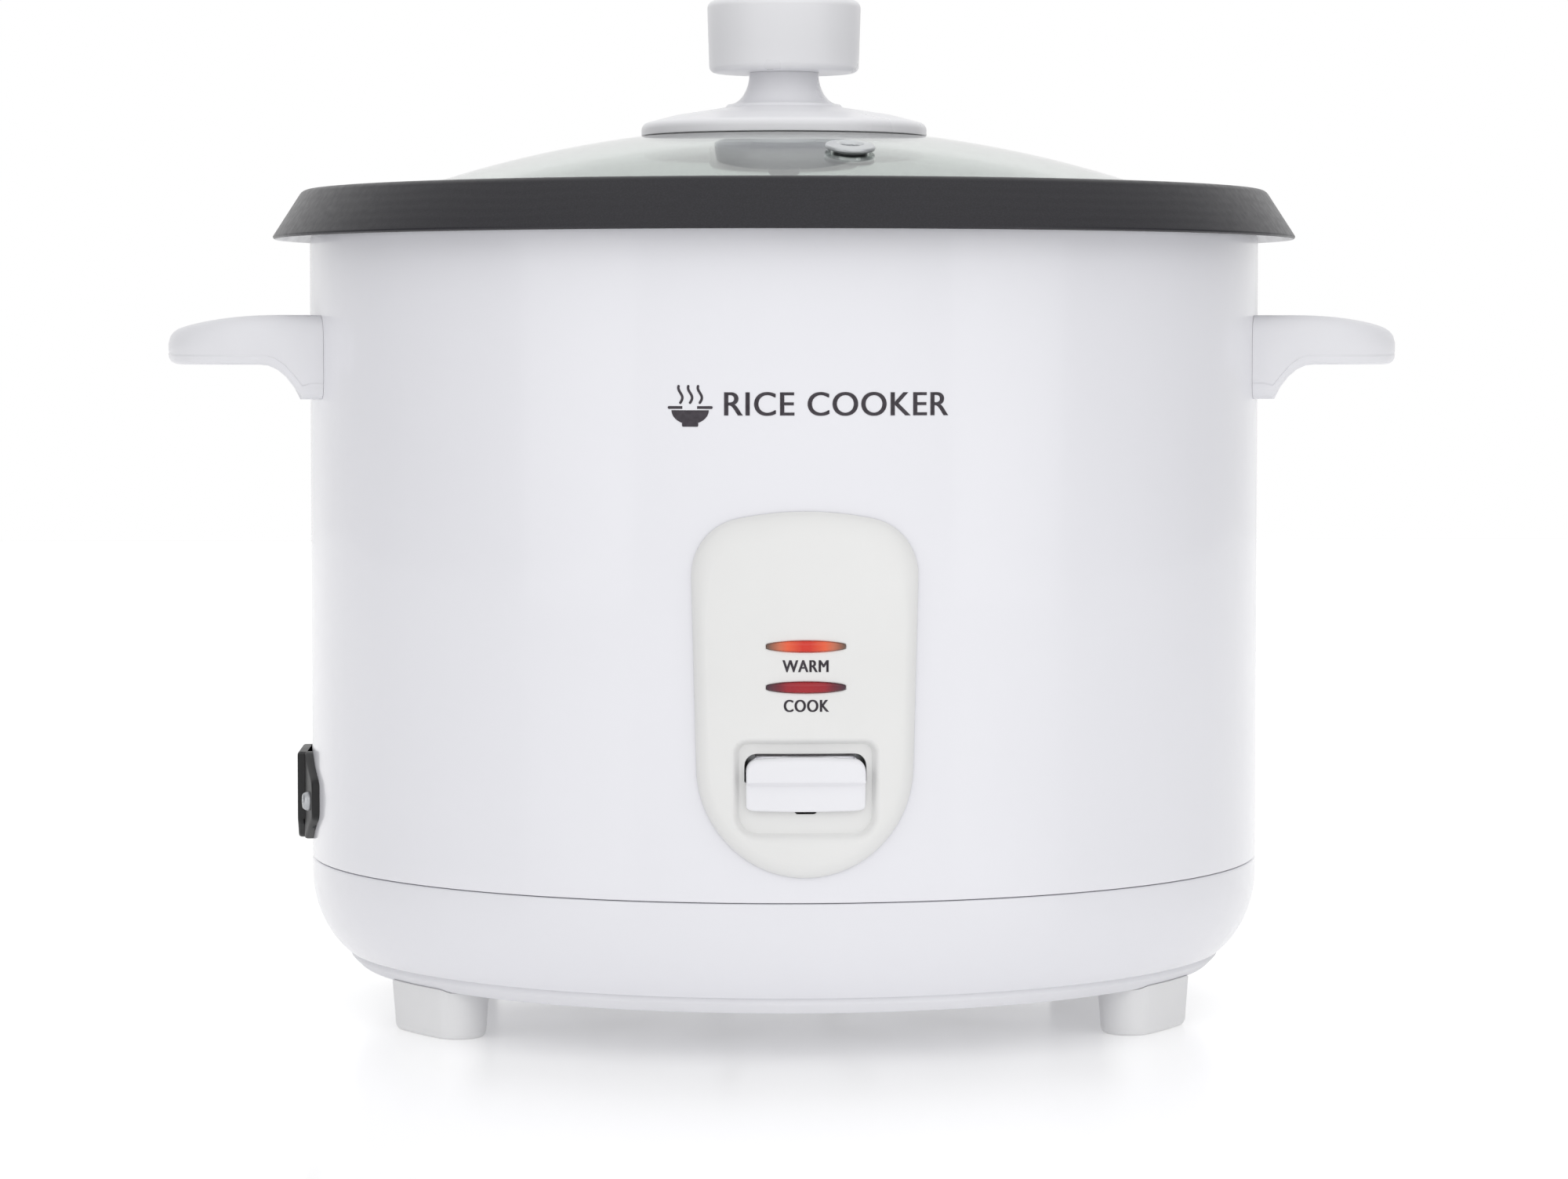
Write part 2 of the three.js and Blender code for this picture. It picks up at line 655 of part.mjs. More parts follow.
// ---------------------------------------------------------------- switch
function switchBracket() {
  const { half, front, rear, bottom } = BRACKET;
  const top = PLATE_BOTTOM - GAP;
  const channel = polygon([
    [-half, bottom], [SHEET - half, bottom], [SHEET - half, top - SHEET],
    [half - SHEET, top - SHEET], [half - SHEET, bottom], [half, bottom],
    [half, top], [-half, top],
  ]);
  const pinHole = rod(2.3, [-20, PIVOT.y, PIVOT.z], [20, PIVOT.y, PIVOT.z]);
  return cut(extrudeAlongY(channel, front, rear), pinHole);
}

function switchLever() {
  const t = LEVER.thickness / 2;
  const { tongueZ, tip, end } = LEVER;
  const strip = polygon([
    [tip, tongueZ - t], [-106, tongueZ - t], [-93, PIVOT.z - t], [end, PIVOT.z - t],
    [end, PIVOT.z + t], [-92, PIVOT.z + t], [-105, tongueZ + t], [tip, tongueZ + t],
  ]);
  const eye = [PIVOT.y, PIVOT.z];
  const boss = rod(4.4, [-LEVER.half, ...eye], [LEVER.half, ...eye], 16);
  const bore = rod(2.3, [-10, ...eye], [10, ...eye]);
  return cut(join(extrudeAlongX(strip, 2 * LEVER.half), boss), bore);
}

// A thin skirt hangs in front of the pocket's floor under a proud lip. A neck behind the lip goes
// through the aperture, and a shield on its end keeps the aperture covered as the cap goes down.
function switchCap() {
  const side = polygon([
    [-CAP.skirt, CAP.low], [-CAP.skirtBack, CAP.low], [-CAP.skirtBack, CAP.neckLow],
    [-CAP.shieldBack, CAP.neckLow], [-CAP.shieldBack, CAP.shieldHigh],
    [-CAP.shieldFront, CAP.shieldHigh], [-CAP.shieldFront, CAP.high], [1.6 - CAP.lip, CAP.high],
    [-CAP.lip, CAP.high - 1.6], [-CAP.lip, CAP.crease + 0.6], [-CAP.skirt, CAP.crease - 0.4],
  ]);
  const socket = block(
    [-LEVER.half - GAP, LEVER.tip - GAP, LEVER.tongueZ - 1.1],
    [LEVER.half + GAP, -110, LEVER.tongueZ + 1.1],
  );
  return cut(extrudeAlongX(side, 2 * CAP.half), socket);
}

function microswitchBody() {
  const bore = rod(1.5, [3.7, -75, 37.4], [3.7, -75, 50], 10);
  return cut(block([0.4, -85, 31], [6.9, -65, 42]), bore);
}

function addSwitch(housing) {
  add(housing, 'switch_bracket', 'galvanised', switchBracket());
  add(housing, 'pivot_pin', 'steel', rod(2, [-10, PIVOT.y, PIVOT.z], [10, PIVOT.y, PIVOT.z]));
  add(housing, 'microswitch_body', 'black', microswitchBody());
  const plunger = group();
  add(plunger, 'microswitch_plunger', 'sleeve', rod(1.2, [3.7, -75, 39.5], [3.7, -75, 44.9], 10));
  const lever = group();
  add(lever, 'switch_lever', 'galvanised', switchLever());
  add(lever, 'switch_cap', 'plastic', switchCap());
}

// ---------------------------------------------------------------- inlet and wiring
// A rectangle in the (y, z) plane with its two lower corners cut off.
function inletOutline(half, low, high, corner) {
  return polygon([
    [-half, low + corner], [corner - half, low], [half - corner, low],
    [half, low + corner], [half, high], [-half, high],
  ]);
}

// How far out the face of an ear is at a distance from the inlet's middle.
function earReach(y) {
  const slope = radians(INLET_SCREW_ANGLE);
  return (INLET_EAR_FACE - Math.abs(y) * Math.sin(slope)) / Math.cos(slope);
}

// A block in the middle with the socket, between two thin ears that follow the drum.
function inletHousing() {
  const [half, middle] = [INLET_HALF_WIDTH, INLET_BLOCK_HALF];
  const flange = polygon([
    [-middle, INLET_LOW], [middle, INLET_LOW], [half, INLET_LOW + 7], [half, INLET_HIGH - 7],
    [middle, INLET_HIGH], [-middle, INLET_HIGH], [-half, INLET_HIGH - 7], [-half, INLET_LOW + 7],
  ]);
  const plan = polygon([
    [-118, -half - 1], [-118, half + 1], [-earReach(half + 1), half + 1],
    [-earReach(middle), middle], [-earReach(middle), -middle], [-earReach(half + 1), -half - 1],
  ]);
  const ears = common(
    extrudeAlongX(flange, 14).translate(-124, 0, 0),
    extrude(plan, 40).translate(0, 0, 40),
  );
  const raised = extrudeAlongX(inletOutline(middle, INLET_LOW, INLET_HIGH, 5), 8)
    .translate(4 - INLET_FACE, 0, 0);
  const drum = rod(DRUM_RADIUS + GAP, [0, 0, 30], [0, 0, 90], ROUND);
  const shaped = cut(join(ears, raised), drum);
  const shroud = extrudeAlongX(inletOutline(middle, 46.5, 66.5, 4), 19)
    .translate(-118.6, 0, 0);
  const socket = extrudeAlongX(inletOutline(12, 48.3, 64.7, 4), 20).translate(-122, 0, 0);
  const slots = inletPinPlaces().map(
    ([y, z]) => block([-120, y - 1.3, z - 2.3], [-100, y + 1.3, z + 2.3]),
  );
  return cut(join(shaped, shroud), socket, ...slots, ...inletScrewHoles(2));
}

function inletPinPlaces() {
  return [[-7, INLET_Z + 2], [0, INLET_Z - 2], [7, INLET_Z + 2]];
}

function wire(points) {
  const path = new THREE.CatmullRomCurve3(points.map((point) => new THREE.Vector3(...point)));
  return tube(path, 1.3, 18, 8);
}

function addPower(housing) {
  add(housing, 'inlet_housing', 'black', inletHousing());
  ['line', 'earth', 'neutral'].forEach((name, k) => {
    const [y, z] = inletPinPlaces()[k];
    add(housing, `inlet_pin_${name}`, 'brass', block([-126, y - 1, z - 2], [-99, y + 1, z + 2]));
  });
  [-1, 1].forEach((side, k) => {
    const holder = group(housing);
    holder.rotation.z = radians(-side * INLET_SCREW_ANGLE);
    const fastener = add(holder, `inlet_screw_${k + 1}`, 'steel',
      screw(3, 1.9, 1.7, 8).rotateY(-Math.PI / 2));
    fastener.position.set(-INLET_EAR_FACE - GAP, 0, INLET_Z);
  });
  add(housing, 'line_wire', 'sleeve', wire([
    [-97.4, -7, INLET_Z + 2], [-90, -14, 52], [-78, -36, 38], [-56, -56, 36],
    [-34, -62, 39], [-27.6, -60, 48.4],
  ]));
  add(housing, 'neutral_wire', 'sleeve', wire([
    [-97.4, 7, INLET_Z + 2], [-90, 14, 52], [-74, 26, 36], [-30, 36, 30], [20, 36, 34],
    [44, 28, 50], [49, 19, 60], [49, 14.6, 62.3],
  ]));
}

// ---------------------------------------------------------------- pot
function innerPot() {
  const inside = POT_RADIUS - POT_WALL;
  const bottom = PLATE_TOP + GAP;
  const ledge = SEAT_Z - 1.7;
  return revolve([
    [0, bottom], [102, bottom], [111.5, bottom + 4], [POT_RADIUS, bottom + 13.5],
    [POT_RADIUS, ledge], [121.2, ledge], [125.6, RIM_TOP - 1.9], [127.2, RIM_TOP - 1.9],
    [RIM_RADIUS - 1.5, RIM_BOTTOM], [RIM_RADIUS, RIM_BOTTOM], [RIM_RADIUS, RIM_BOTTOM + 0.8],
    [128.2, RIM_TOP - 0.5], [126.6, RIM_TOP], [124.8, RIM_TOP - 0.5],
    [120.6, SEAT_Z], [inside, SEAT_Z], [inside, bottom + 13.7], [110.4, bottom + 5.2],
    [101.6, bottom + POT_WALL], [0, bottom + POT_WALL],
  ]);
}

// ---------------------------------------------------------------- lid
function arcPoints(from, to, steps, thickness) {
  const points = [];
  for (let k = 0; k <= steps; k += 1) {
    const r = from + ((to - from) * k) / steps;
    points.push([r, domeZ(r, thickness)]);
  }
  return points;
}

// Places a geometry made about the Z axis on the dome, along the dome's normal.
function ontoDome(geometry) {
  const tilt = Math.asin(VENT_RADIUS / DOME_RADIUS);
  return geometry
    .rotateY(tilt)
    .translate(VENT_RADIUS, 0, domeZ(VENT_RADIUS))
    .rotateZ(radians(VENT_AZIMUTH));
}

function lidGlass() {
  const top = GLASS_EDGE_Z + GLASS;
  const dome = revolve([
    ...arcPoints(4, 107.4, 5, 0),
    [GLASS_EDGE_RADIUS, top],
    [GLASS_EDGE_RADIUS, GLASS_EDGE_Z],
    ...arcPoints(4, 106.8, 5, GLASS).reverse(),
  ]);
  return cut(dome, ontoDome(rod(4.8, [0, 0, -15], [0, 0, 10], 20)));
}

function lidRimBand() {
  const [inner, outer] = [GLASS_EDGE_RADIUS + GAP, GLASS_EDGE_RADIUS + 1.1];
  const low = SEAT_Z + GAP;
  const high = GLASS_EDGE_Z + GLASS + GAP + 0.7;
  return revolve([
    [114.5, low], [outer, low], [outer, high], [114.5, high], [114.5, high - 0.7],
    [inner, high - 0.7], [inner, GLASS_EDGE_Z - GAP], [114.5, GLASS_EDGE_Z - GAP],
  ]);
}

function ventGrommet() {
  const spool = revolve([
    [2.6, -5.4], [6.4, -5.4], [6.4, -4.6], [4.4, -4.4],
    [4.4, 0.4], [6.4, 0.5], [6.2, 1.4], [3.4, 1.9], [2.6, 1.2],
  ], 16);
  return ontoDome(spool);
}

function knobBase() {
  const rest = domeZ(0) + GAP + 0.1;
  return revolve([
    [2.4, rest], [20, domeZ(20) + GAP], [38, domeZ(38) + GAP], [38, 232.7], [35.8, 234.7],
    [26.4, 237.2], [14.5, 239.6], [11.7, 242.2], [10, 244.9],
    [10, KNOB_CAP_BOTTOM - GAP], [2.4, KNOB_CAP_BOTTOM - GAP],
  ], 32);
}

function knobCap() {
  const r = KNOB_CAP_RADIUS;
  return revolve([
    [0, 260], [2.4, 260], [2.4, KNOB_CAP_BOTTOM], [r - 1.5, KNOB_CAP_BOTTOM],
    [r, KNOB_CAP_BOTTOM + 1.5], [r, OBJECT_TOP - 3], [r - 1.2, OBJECT_TOP - 1],
    [r - 3.6, OBJECT_TOP], [0, OBJECT_TOP],
  ], 32);
}

function addLid() {
  const lid = group();
  add(lid, 'lid_glass', 'glass', lidGlass());
  add(lid, 'lid_rim_band', 'steel', lidRimBand());
  add(lid, 'vent_grommet', 'steel', ventGrommet());
  add(lid, 'knob_base', 'plastic', knobBase());
  add(lid, 'knob_cap', 'plastic', knobCap());
  const washerTop = domeZ(20, GLASS) - GAP;
  add(lid, 'knob_washer', 'rubber', revolve([
    [2.4, 224.2], [19, 224.2], [20, 225], [20, washerTop], [2.4, domeZ(2.4, GLASS) - GAP],
  ], 24));
  const fastener = add(lid, 'knob_screw', 'steel', screw(4.5, 2.2, 2, 35).rotateX(Math.PI));
  fastener.position.z = 223.9;
}

const housing = addHousing();
addFront(housing);
addHeating(housing);
addSwitch(housing);
addPower(housing);
add(group(), 'inner_pot', 'nonstick', innerPot());
addLid();

export default cooker;
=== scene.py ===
"""Looks of the drum rice cooker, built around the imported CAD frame.

Geometry is worked out in millimetres in the frame's axes and turned into metres when a mesh is made.
"""
import math

import bmesh
import bpy
import numpy as np
from mathutils import Matrix, Vector
from mathutils.geometry import delaunay_2d_cdt


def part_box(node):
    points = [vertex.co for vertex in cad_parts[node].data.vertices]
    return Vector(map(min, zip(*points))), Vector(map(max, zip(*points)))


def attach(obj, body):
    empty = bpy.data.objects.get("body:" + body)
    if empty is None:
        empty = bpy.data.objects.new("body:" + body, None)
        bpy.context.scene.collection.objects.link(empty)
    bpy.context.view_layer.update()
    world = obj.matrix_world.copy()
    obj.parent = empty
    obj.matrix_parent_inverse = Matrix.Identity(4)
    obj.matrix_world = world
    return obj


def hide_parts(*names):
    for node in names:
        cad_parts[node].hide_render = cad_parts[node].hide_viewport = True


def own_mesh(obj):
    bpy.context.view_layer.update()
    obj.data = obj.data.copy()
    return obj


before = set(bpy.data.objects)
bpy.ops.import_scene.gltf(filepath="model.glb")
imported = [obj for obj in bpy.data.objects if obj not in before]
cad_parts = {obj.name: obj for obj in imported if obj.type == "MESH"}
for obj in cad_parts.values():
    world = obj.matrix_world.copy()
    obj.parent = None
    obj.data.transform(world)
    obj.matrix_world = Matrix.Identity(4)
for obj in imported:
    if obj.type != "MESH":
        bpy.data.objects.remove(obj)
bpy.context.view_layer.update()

MM = 0.001
SEGMENTS = 192


# ---------------------------------------------------------------- sizes read from the frame
def low(node):
    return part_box(node)[0] / MM


def high(node):
    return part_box(node)[1] / MM


GAP = 0.3
SEAT_GAP = 0.05
SHEET = 1.2
DRUM_R = high("body_shell").x
DRUM_LOW = low("body_shell").z
DRUM_TOP = high("body_shell").z
LINER_R = DRUM_R - 6.6
LINER_LOW = low("inner_liner").z
BOWL_LOW = low("base_bowl").z
SEAM = DRUM_LOW - 0.2
COVER_LOW = low("bottom_cover").z
POT_LOW = low("inner_pot").z
RIM_R = high("inner_pot").x
RIM_TOP = high("inner_pot").z
POT_R = RIM_R - 20.2
SEAT_Z = low("lid_rim_band").z - GAP
GLASS_TOP = high("lid_glass").z
GLASS_R = high("lid_glass").x
DOME_R = 300
GLASS = 4
PANEL_FACE = -low("control_panel").y
PANEL_LOW = low("control_panel").z
PANEL_TOP = high("control_panel").z
PANEL_HALF = high("control_panel").x
CAP_LOW = low("switch_cap").z
CAP_HALF = high("switch_cap").x
CAP_HIGH = CAP_LOW + 13.3
INLET_FACE = -low("inlet_housing").x
INLET_LOW = low("inlet_housing").z
INLET_HIGH = high("inlet_housing").z
INLET_Z = (low("inlet_screw_1").z + high("inlet_screw_1").z) / 2
INLET_HALF = high("inlet_housing").y
KNOB_LOW = low("knob_cap").z
KNOB_TOP = high("knob_cap").z
KNOB_R = high("knob_cap").x
HANDLE_REACH = high("right_handle").x
HANDLE_LOW = low("right_handle").z
HANDLE_TOP = high("right_handle").z
HANDLE_HALF = high("right_handle").y


# ---------------------------------------------------------------- materials
def linear(red, green, blue):
    """A display colour from 0 to 255 as linear light."""
    levels = []
    for value in (red, green, blue):
        share = value / 255
        levels.append(share / 12.92 if share <= 0.04045 else ((share + 0.055) / 1.055) ** 2.4)
    return (*levels, 1.0)


class Finish:
    """A material whose colour, roughness and bump are made by nodes."""

    def __init__(self, name, **constants):
        self.material = bpy.data.materials.new(name)
        self.material.use_nodes = True
        self.tree = self.material.node_tree
        self.shader = self.tree.nodes["Principled BSDF"]
        for socket, value in constants.items():
            self.shader.inputs[socket.replace("_", " ")].default_value = value
        self.coordinates = self.node("ShaderNodeTexCoord").outputs["Object"]
        self.bumps = None

    def node(self, kind, **settings):
        node = self.tree.nodes.new(kind)
        for key, value in settings.items():
            setattr(node, key, value)
        return node

    def link(self, source, target):
        self.tree.links.new(source, target)

    def noise(self, scale, detail=3.0, roughness=0.5, vector=None):
        node = self.node("ShaderNodeTexNoise")
        node.inputs["Scale"].default_value = scale
        node.inputs["Detail"].default_value = detail
        node.inputs["Roughness"].default_value = roughness
        self.link(vector or self.coordinates, node.inputs["Vector"])
        return node.outputs["Fac"]

    def ramp(self, factor, stops):
        node = self.node("ShaderNodeValToRGB")
        elements = node.color_ramp.elements
        while len(elements) < len(stops):
            elements.new(0.5)
        for element, (place, colour) in zip(elements, stops):
            element.position = place
            element.color = colour
        self.link(factor, node.inputs["Fac"])
        return node.outputs["Color"]

    def colour(self, factor, *colours, spread=(0.3, 0.7)):
        start, end = spread
        step = (end - start) / max(len(colours) - 1, 1)
        stops = [(start + step * k, colour) for k, colour in enumerate(colours)]
        self.link(self.ramp(factor, stops), self.shader.inputs["Base Color"])
        return self

    def roughness(self, factor, least, most):
        node = self.node("ShaderNodeMapRange")
        node.inputs["From Min"].default_value = 0.3
        node.inputs["From Max"].default_value = 0.7
        node.inputs["To Min"].default_value = least
        node.inputs["To Max"].default_value = most
        self.link(factor, node.inputs["Value"])
        self.link(node.outputs["Result"], self.shader.inputs["Roughness"])
        return self

    def bump(self, height, strength, distance_mm):
        node = self.node("ShaderNodeBump")
        node.inputs["Strength"].default_value = strength
        node.inputs["Distance"].default_value = distance_mm * MM
        self.link(height, node.inputs["Height"])
        if self.bumps is not None:
            self.link(self.bumps, node.inputs["Normal"])
        self.bumps = node.outputs["Normal"]
        self.link(self.bumps, self.shader.inputs["Normal"])
        return self

    def rings(self, pitch_mm):
        """A wave across the distance from the Z axis: the trace of a turning tool."""
        split = self.node("ShaderNodeSeparateXYZ")
        self.link(self.coordinates, split.inputs["Vector"])
        flat = self.node("ShaderNodeCombineXYZ")
        self.link(split.outputs["X"], flat.inputs["X"])
        self.link(split.outputs["Y"], flat.inputs["Y"])
        length = self.node("ShaderNodeVectorMath", operation="LENGTH")
        self.link(flat.outputs["Vector"], length.inputs[0])
        wobble = self.node("ShaderNodeMath", operation="MULTIPLY_ADD")
        self.link(self.noise(40, 2), wobble.inputs[0])
        wobble.inputs[1].default_value = pitch_mm * MM
        self.link(length.outputs["Value"], wobble.inputs[2])
        height = self.node("ShaderNodeMath", operation="ADD")
        self.link(wobble.outputs["Value"], height.inputs[0])
        self.link(split.outputs["Z"], height.inputs[1])
        wave = self.node("ShaderNodeMath", operation="MULTIPLY")
        self.link(height.outputs["Value"], wave.inputs[0])
        wave.inputs[1].default_value = 2 * math.pi / (pitch_mm * MM)
        sine = self.node("ShaderNodeMath", operation="SINE")
        self.link(wave.outputs["Value"], sine.inputs[0])
        return sine.outputs["Value"]


def enamel(name, tone):
    """Baked white enamel on steel: glossy, with a faint orange peel and a very slight mottle."""
    light = linear(*tone)
    shade = linear(*(value - 3 for value in tone))
    finish = Finish(name, IOR=1.5, Coat_Weight=0.35, Coat_Roughness=0.06)
    finish.colour(finish.noise(9, 4), shade, light)
    finish.roughness(finish.noise(30, 3), 0.2, 0.27)
    finish.bump(finish.noise(380, 2), 0.05, 0.12)
    return finish.material


def moulded(name, tone, rough, grain=0.12):
    """Moulded plastic with a fine grain and slight variation in gloss."""
    light = linear(*tone)
    shade = linear(*(max(value - 5, 0) for value in tone))
    finish = Finish(name, IOR=1.46)
    finish.colour(finish.noise(22, 5), shade, light)
    finish.roughness(finish.noise(60, 4), rough - 0.04, rough + 0.05)
    finish.bump(finish.noise(1400, 3), grain, 0.06)
    return finish.material


def coating():
    """Charcoal non-stick coating over turned aluminium: satin, with fine turning lines."""
    finish = Finish("pot_coating", IOR=1.45)
    finish.colour(finish.noise(2600, 2), linear(24, 23, 28), linear(29, 28, 34), linear(36, 35, 41))
    finish.roughness(finish.noise(500, 3), 0.32, 0.4)
    finish.bump(finish.rings(0.8), 0.16, 0.05)
    finish.bump(finish.noise(2200, 2), 0.06, 0.03)
    return finish.material


def turned_metal(name, tone, rough, pitch_mm, metallic=1.0):
    """Spun or turned bare metal, with fine circular lines and a little staining."""
    light = linear(*tone)
    shade = linear(*(value * 0.86 for value in tone))
    finish = Finish(name, Metallic=metallic)
    finish.colour(finish.noise(35, 6), shade, light)
    finish.roughness(finish.noise(120, 4), rough - 0.06, rough + 0.08)
    finish.bump(finish.rings(pitch_mm), 0.2, 0.03)
    return finish.material


def sheet_metal(name, tone, rough):
    """Plated or pressed sheet steel with a cloudy crystal pattern."""
    finish = Finish(name, Metallic=1.0)
    cells = finish.node("ShaderNodeTexVoronoi")
    cells.inputs["Scale"].default_value = 160
    finish.link(finish.coordinates, cells.inputs["Vector"])
    shade = linear(*(value * 0.88 for value in tone))
    finish.colour(cells.outputs["Color"], shade, linear(*tone), spread=(0.1, 0.9))
    finish.roughness(finish.noise(90, 5), rough - 0.06, rough + 0.1)
    finish.bump(finish.noise(900, 2), 0.08, 0.03)
    return finish.material


def clear_glass():
    """Tempered lid glass, with the faint green of its thickness."""
    finish = Finish("lid_glass_clear", IOR=1.5, Transmission_Weight=1.0, Roughness=0.02)
    finish.colour(finish.noise(12, 2), linear(214, 222, 218), linear(219, 226, 222))
    finish.bump(finish.noise(25, 1), 0.02, 0.05)
    return finish.material


def lens_plastic(name, glow, *tones):
    """Coloured translucent lens: its own orange or red, with painted light brighter at its middle and
    painted shade at its pointed ends, and a painted glow in its emission.
    """
    finish = Finish(name, IOR=1.46, Transmission_Weight=0.15, Coat_Weight=0.15, Coat_Roughness=0.1)
    split = finish.node("ShaderNodeSeparateXYZ")
    finish.link(finish.coordinates, split.inputs["Vector"])
    across = finish.node("ShaderNodeMath", operation="ABSOLUTE")
    finish.link(split.outputs["X"], across.inputs[0])
    share = finish.node("ShaderNodeMath", operation="MULTIPLY")
    finish.link(across.outputs["Value"], share.inputs[0])
    share.inputs[1].default_value = 1 / (10 * MM)
    # painted light: the ramp over the lens's own colour paints the lamp's light bright in the middle and
    # shaded at the ends, and also drives the emission as a painted glow
    stops = [(place, linear(*tone)) for place, tone in zip((0.1, 0.45, 0.65, 0.92), tones)]
    tint_and_painted_light = finish.ramp(share.outputs["Value"], stops)
    finish.link(tint_and_painted_light, finish.shader.inputs["Base Color"])
    finish.link(tint_and_painted_light, finish.shader.inputs["Emission Color"])
    finish.shader.inputs["Emission Strength"].default_value = glow
    finish.roughness(finish.noise(200, 3), 0.12, 0.2)
    finish.bump(finish.noise(700, 2), 0.05, 0.03)
    return finish.material


def ink(name, tone):
    """Pad-printed ink: matt, slightly uneven."""
    finish = Finish(name)
    finish.colour(finish.noise(900, 3), linear(*tone), linear(*(value + 14 for value in tone)))
    finish.roughness(finish.noise(300, 2), 0.45, 0.6)
    finish.bump(finish.noise(1500, 2), 0.1, 0.02)
    return finish.material


FLOOR_GLOW = 0.2


def studio_floor():
    """White glossy table that blows out to white away from the object."""
    finish = Finish("studio_floor", Coat_Weight=0.0)
    finish.colour(finish.noise(1.2, 2), linear(246, 246, 246), linear(249, 249, 249))
    finish.roughness(finish.noise(3, 2), 0.15, 0.2)
    finish.shader.inputs["Emission Color"].default_value = (1, 1, 1, 1)
    finish.shader.inputs["Emission Strength"].default_value = FLOOR_GLOW
    return finish.material


PAINT = enamel("drum_enamel", (233, 233, 238))
BOWL_PAINT = enamel("bowl_enamel", (231, 231, 236))
KNOB_PLASTIC = moulded("knob_plastic", (241, 241, 244), 0.3)
HANDLE_PLASTIC = moulded("handle_plastic", (229, 229, 233), 0.33)
FOOT_PLASTIC = moulded("foot_plastic", (232, 232, 233), 0.42)
COVER_PLASTIC = moulded("cover_plastic", (230, 230, 234), 0.45, 0.2)
PANEL_PLASTIC = moulded("panel_plastic", (232, 232, 231), 0.4)
CAP_PLASTIC = moulded("cap_plastic", (236, 236, 240), 0.2, 0.05)
BLACK_PLASTIC = moulded("black_plastic", (16, 16, 18), 0.42, 0.2)
SEAL = moulded("grey_rubber", (194, 199, 194), 0.6, 0.25)
COATING = coating()
POT_METAL = turned_metal("pot_aluminium", (214, 214, 216), 0.34, 0.9)
PLATE_METAL = turned_metal("plate_aluminium", (202, 202, 203), 0.4, 1.4)
RIM_STEEL = turned_metal("rim_steel", (214, 216, 218), 0.16, 0.6)
EYELET_STEEL = turned_metal("eyelet_steel", (226, 229, 231), 0.34, 0.6, metallic=0.5)
CASING_METAL = sheet_metal("casing_metal", (196, 198, 200), 0.34)
ZINC = sheet_metal("zinc_steel", (188, 190, 193), 0.36)
DARK_STEEL = sheet_metal("element_steel", (120, 114, 108), 0.42)
BRASS = sheet_metal("pin_brass", (205, 178, 112), 0.28)
FERRITE = moulded("ferrite", (58, 58, 61), 0.6, 0.3)
CERAMIC = moulded("ceramic", (226, 222, 208), 0.6, 0.3)
MICA = moulded("mica", (178, 156, 104), 0.5, 0.3)
SLEEVE = moulded("woven_sleeve", (224, 219, 200), 0.8, 0.6)
GLASS_CLEAR = clear_glass()
# the glow and the bright middles of both lenses are painted light from the lamps behind them; on the
# lamp glass the glow is the lamp's own
WARM_LENS = lens_plastic("warm_lens", 0.35, (186, 40, 20), (204, 84, 48), (178, 98, 70), (96, 72, 60))
COOK_LENS = lens_plastic("cook_lens", 0.25, (150, 8, 24), (142, 12, 30), (104, 18, 36), (62, 34, 48))
LAMP_GLASS = lens_plastic("lamp_glass", 0.05, (240, 205, 180), (230, 200, 180), (215, 195, 180),
                          (200, 190, 180))
INK = ink("dark_ink", (46, 40, 48))


# ---------------------------------------------------------------- mesh tools
def make(name, points, faces, *materials, smooth=32, picks=None):
    """A finished object from points in millimetres, with its faces turned outwards."""
    mesh = bpy.data.meshes.new(name)
    mesh.from_pydata([Vector(point) * MM for point in points], [], faces)
    for material in materials:
        mesh.materials.append(material)
    if picks is not None:
        mesh.polygons.foreach_set("material_index", picks)
    tidy = bmesh.new()
    tidy.from_mesh(mesh)
    bmesh.ops.recalc_face_normals(tidy, faces=tidy.faces)
    tidy.to_mesh(mesh)
    tidy.free()
    mesh.shade_smooth()
    mesh.set_sharp_from_angle(angle=math.radians(smooth))
    piece = bpy.data.objects.new(name, mesh)
    bpy.context.scene.collection.objects.link(piece)
    return piece


def stands_for(piece, body, slot, *nodes):
    """The piece rides on a body and hides the CAD nodes that it stands for. slot is not used."""
    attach(piece, body)
    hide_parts(*nodes)
    return piece


def rounded(corners, closed=False, steps=6):
    """An outline of (x, y) from corners (x, y, fillet radius)."""
    outline = []
    count = len(corners)
    for k, (x, y, fillet) in enumerate(corners):
        corner = Vector((x, y))
        if fillet <= 0 or (not closed and k in (0, count - 1)):
            outline.append((x, y))
            continue
        back = Vector(corners[k - 1][:2]) - corner
        ahead = Vector(corners[(k + 1) % count][:2]) - corner
        limit = 0.49 * min(back.length, ahead.length)
        back.normalize()
        ahead.normalize()
        half = back.angle(ahead) / 2
        reach = min(fillet / math.tan(half), limit)
        radius = reach * math.tan(half)
        centre = corner + (back + ahead).normalized() * (radius / math.sin(half))
        first = back * reach + corner - centre
        last = ahead * reach + corner - centre
        start = math.atan2(first.y, first.x)
        sweep = math.atan2(last.y, last.x) - start
        sweep = (sweep + math.pi) % (2 * math.pi) - math.pi
        for step in range(steps + 1):
            angle = start + sweep * step / steps
            outline.append((centre.x + radius * math.cos(angle), centre.y + radius * math.sin(angle)))
    return outline


def even_angles(count=SEGMENTS, extra=()):
    """Angles round the full circle, with the extra ones taking the place of their neighbours."""
    step = 2 * math.pi / count
    angles = [k * step for k in range(count)]
    extra = [angle % (2 * math.pi) for angle in extra]
    kept = [a for a in angles if all(abs(a - b) > 0.6 * step for b in extra)]
    return sorted(kept + extra)


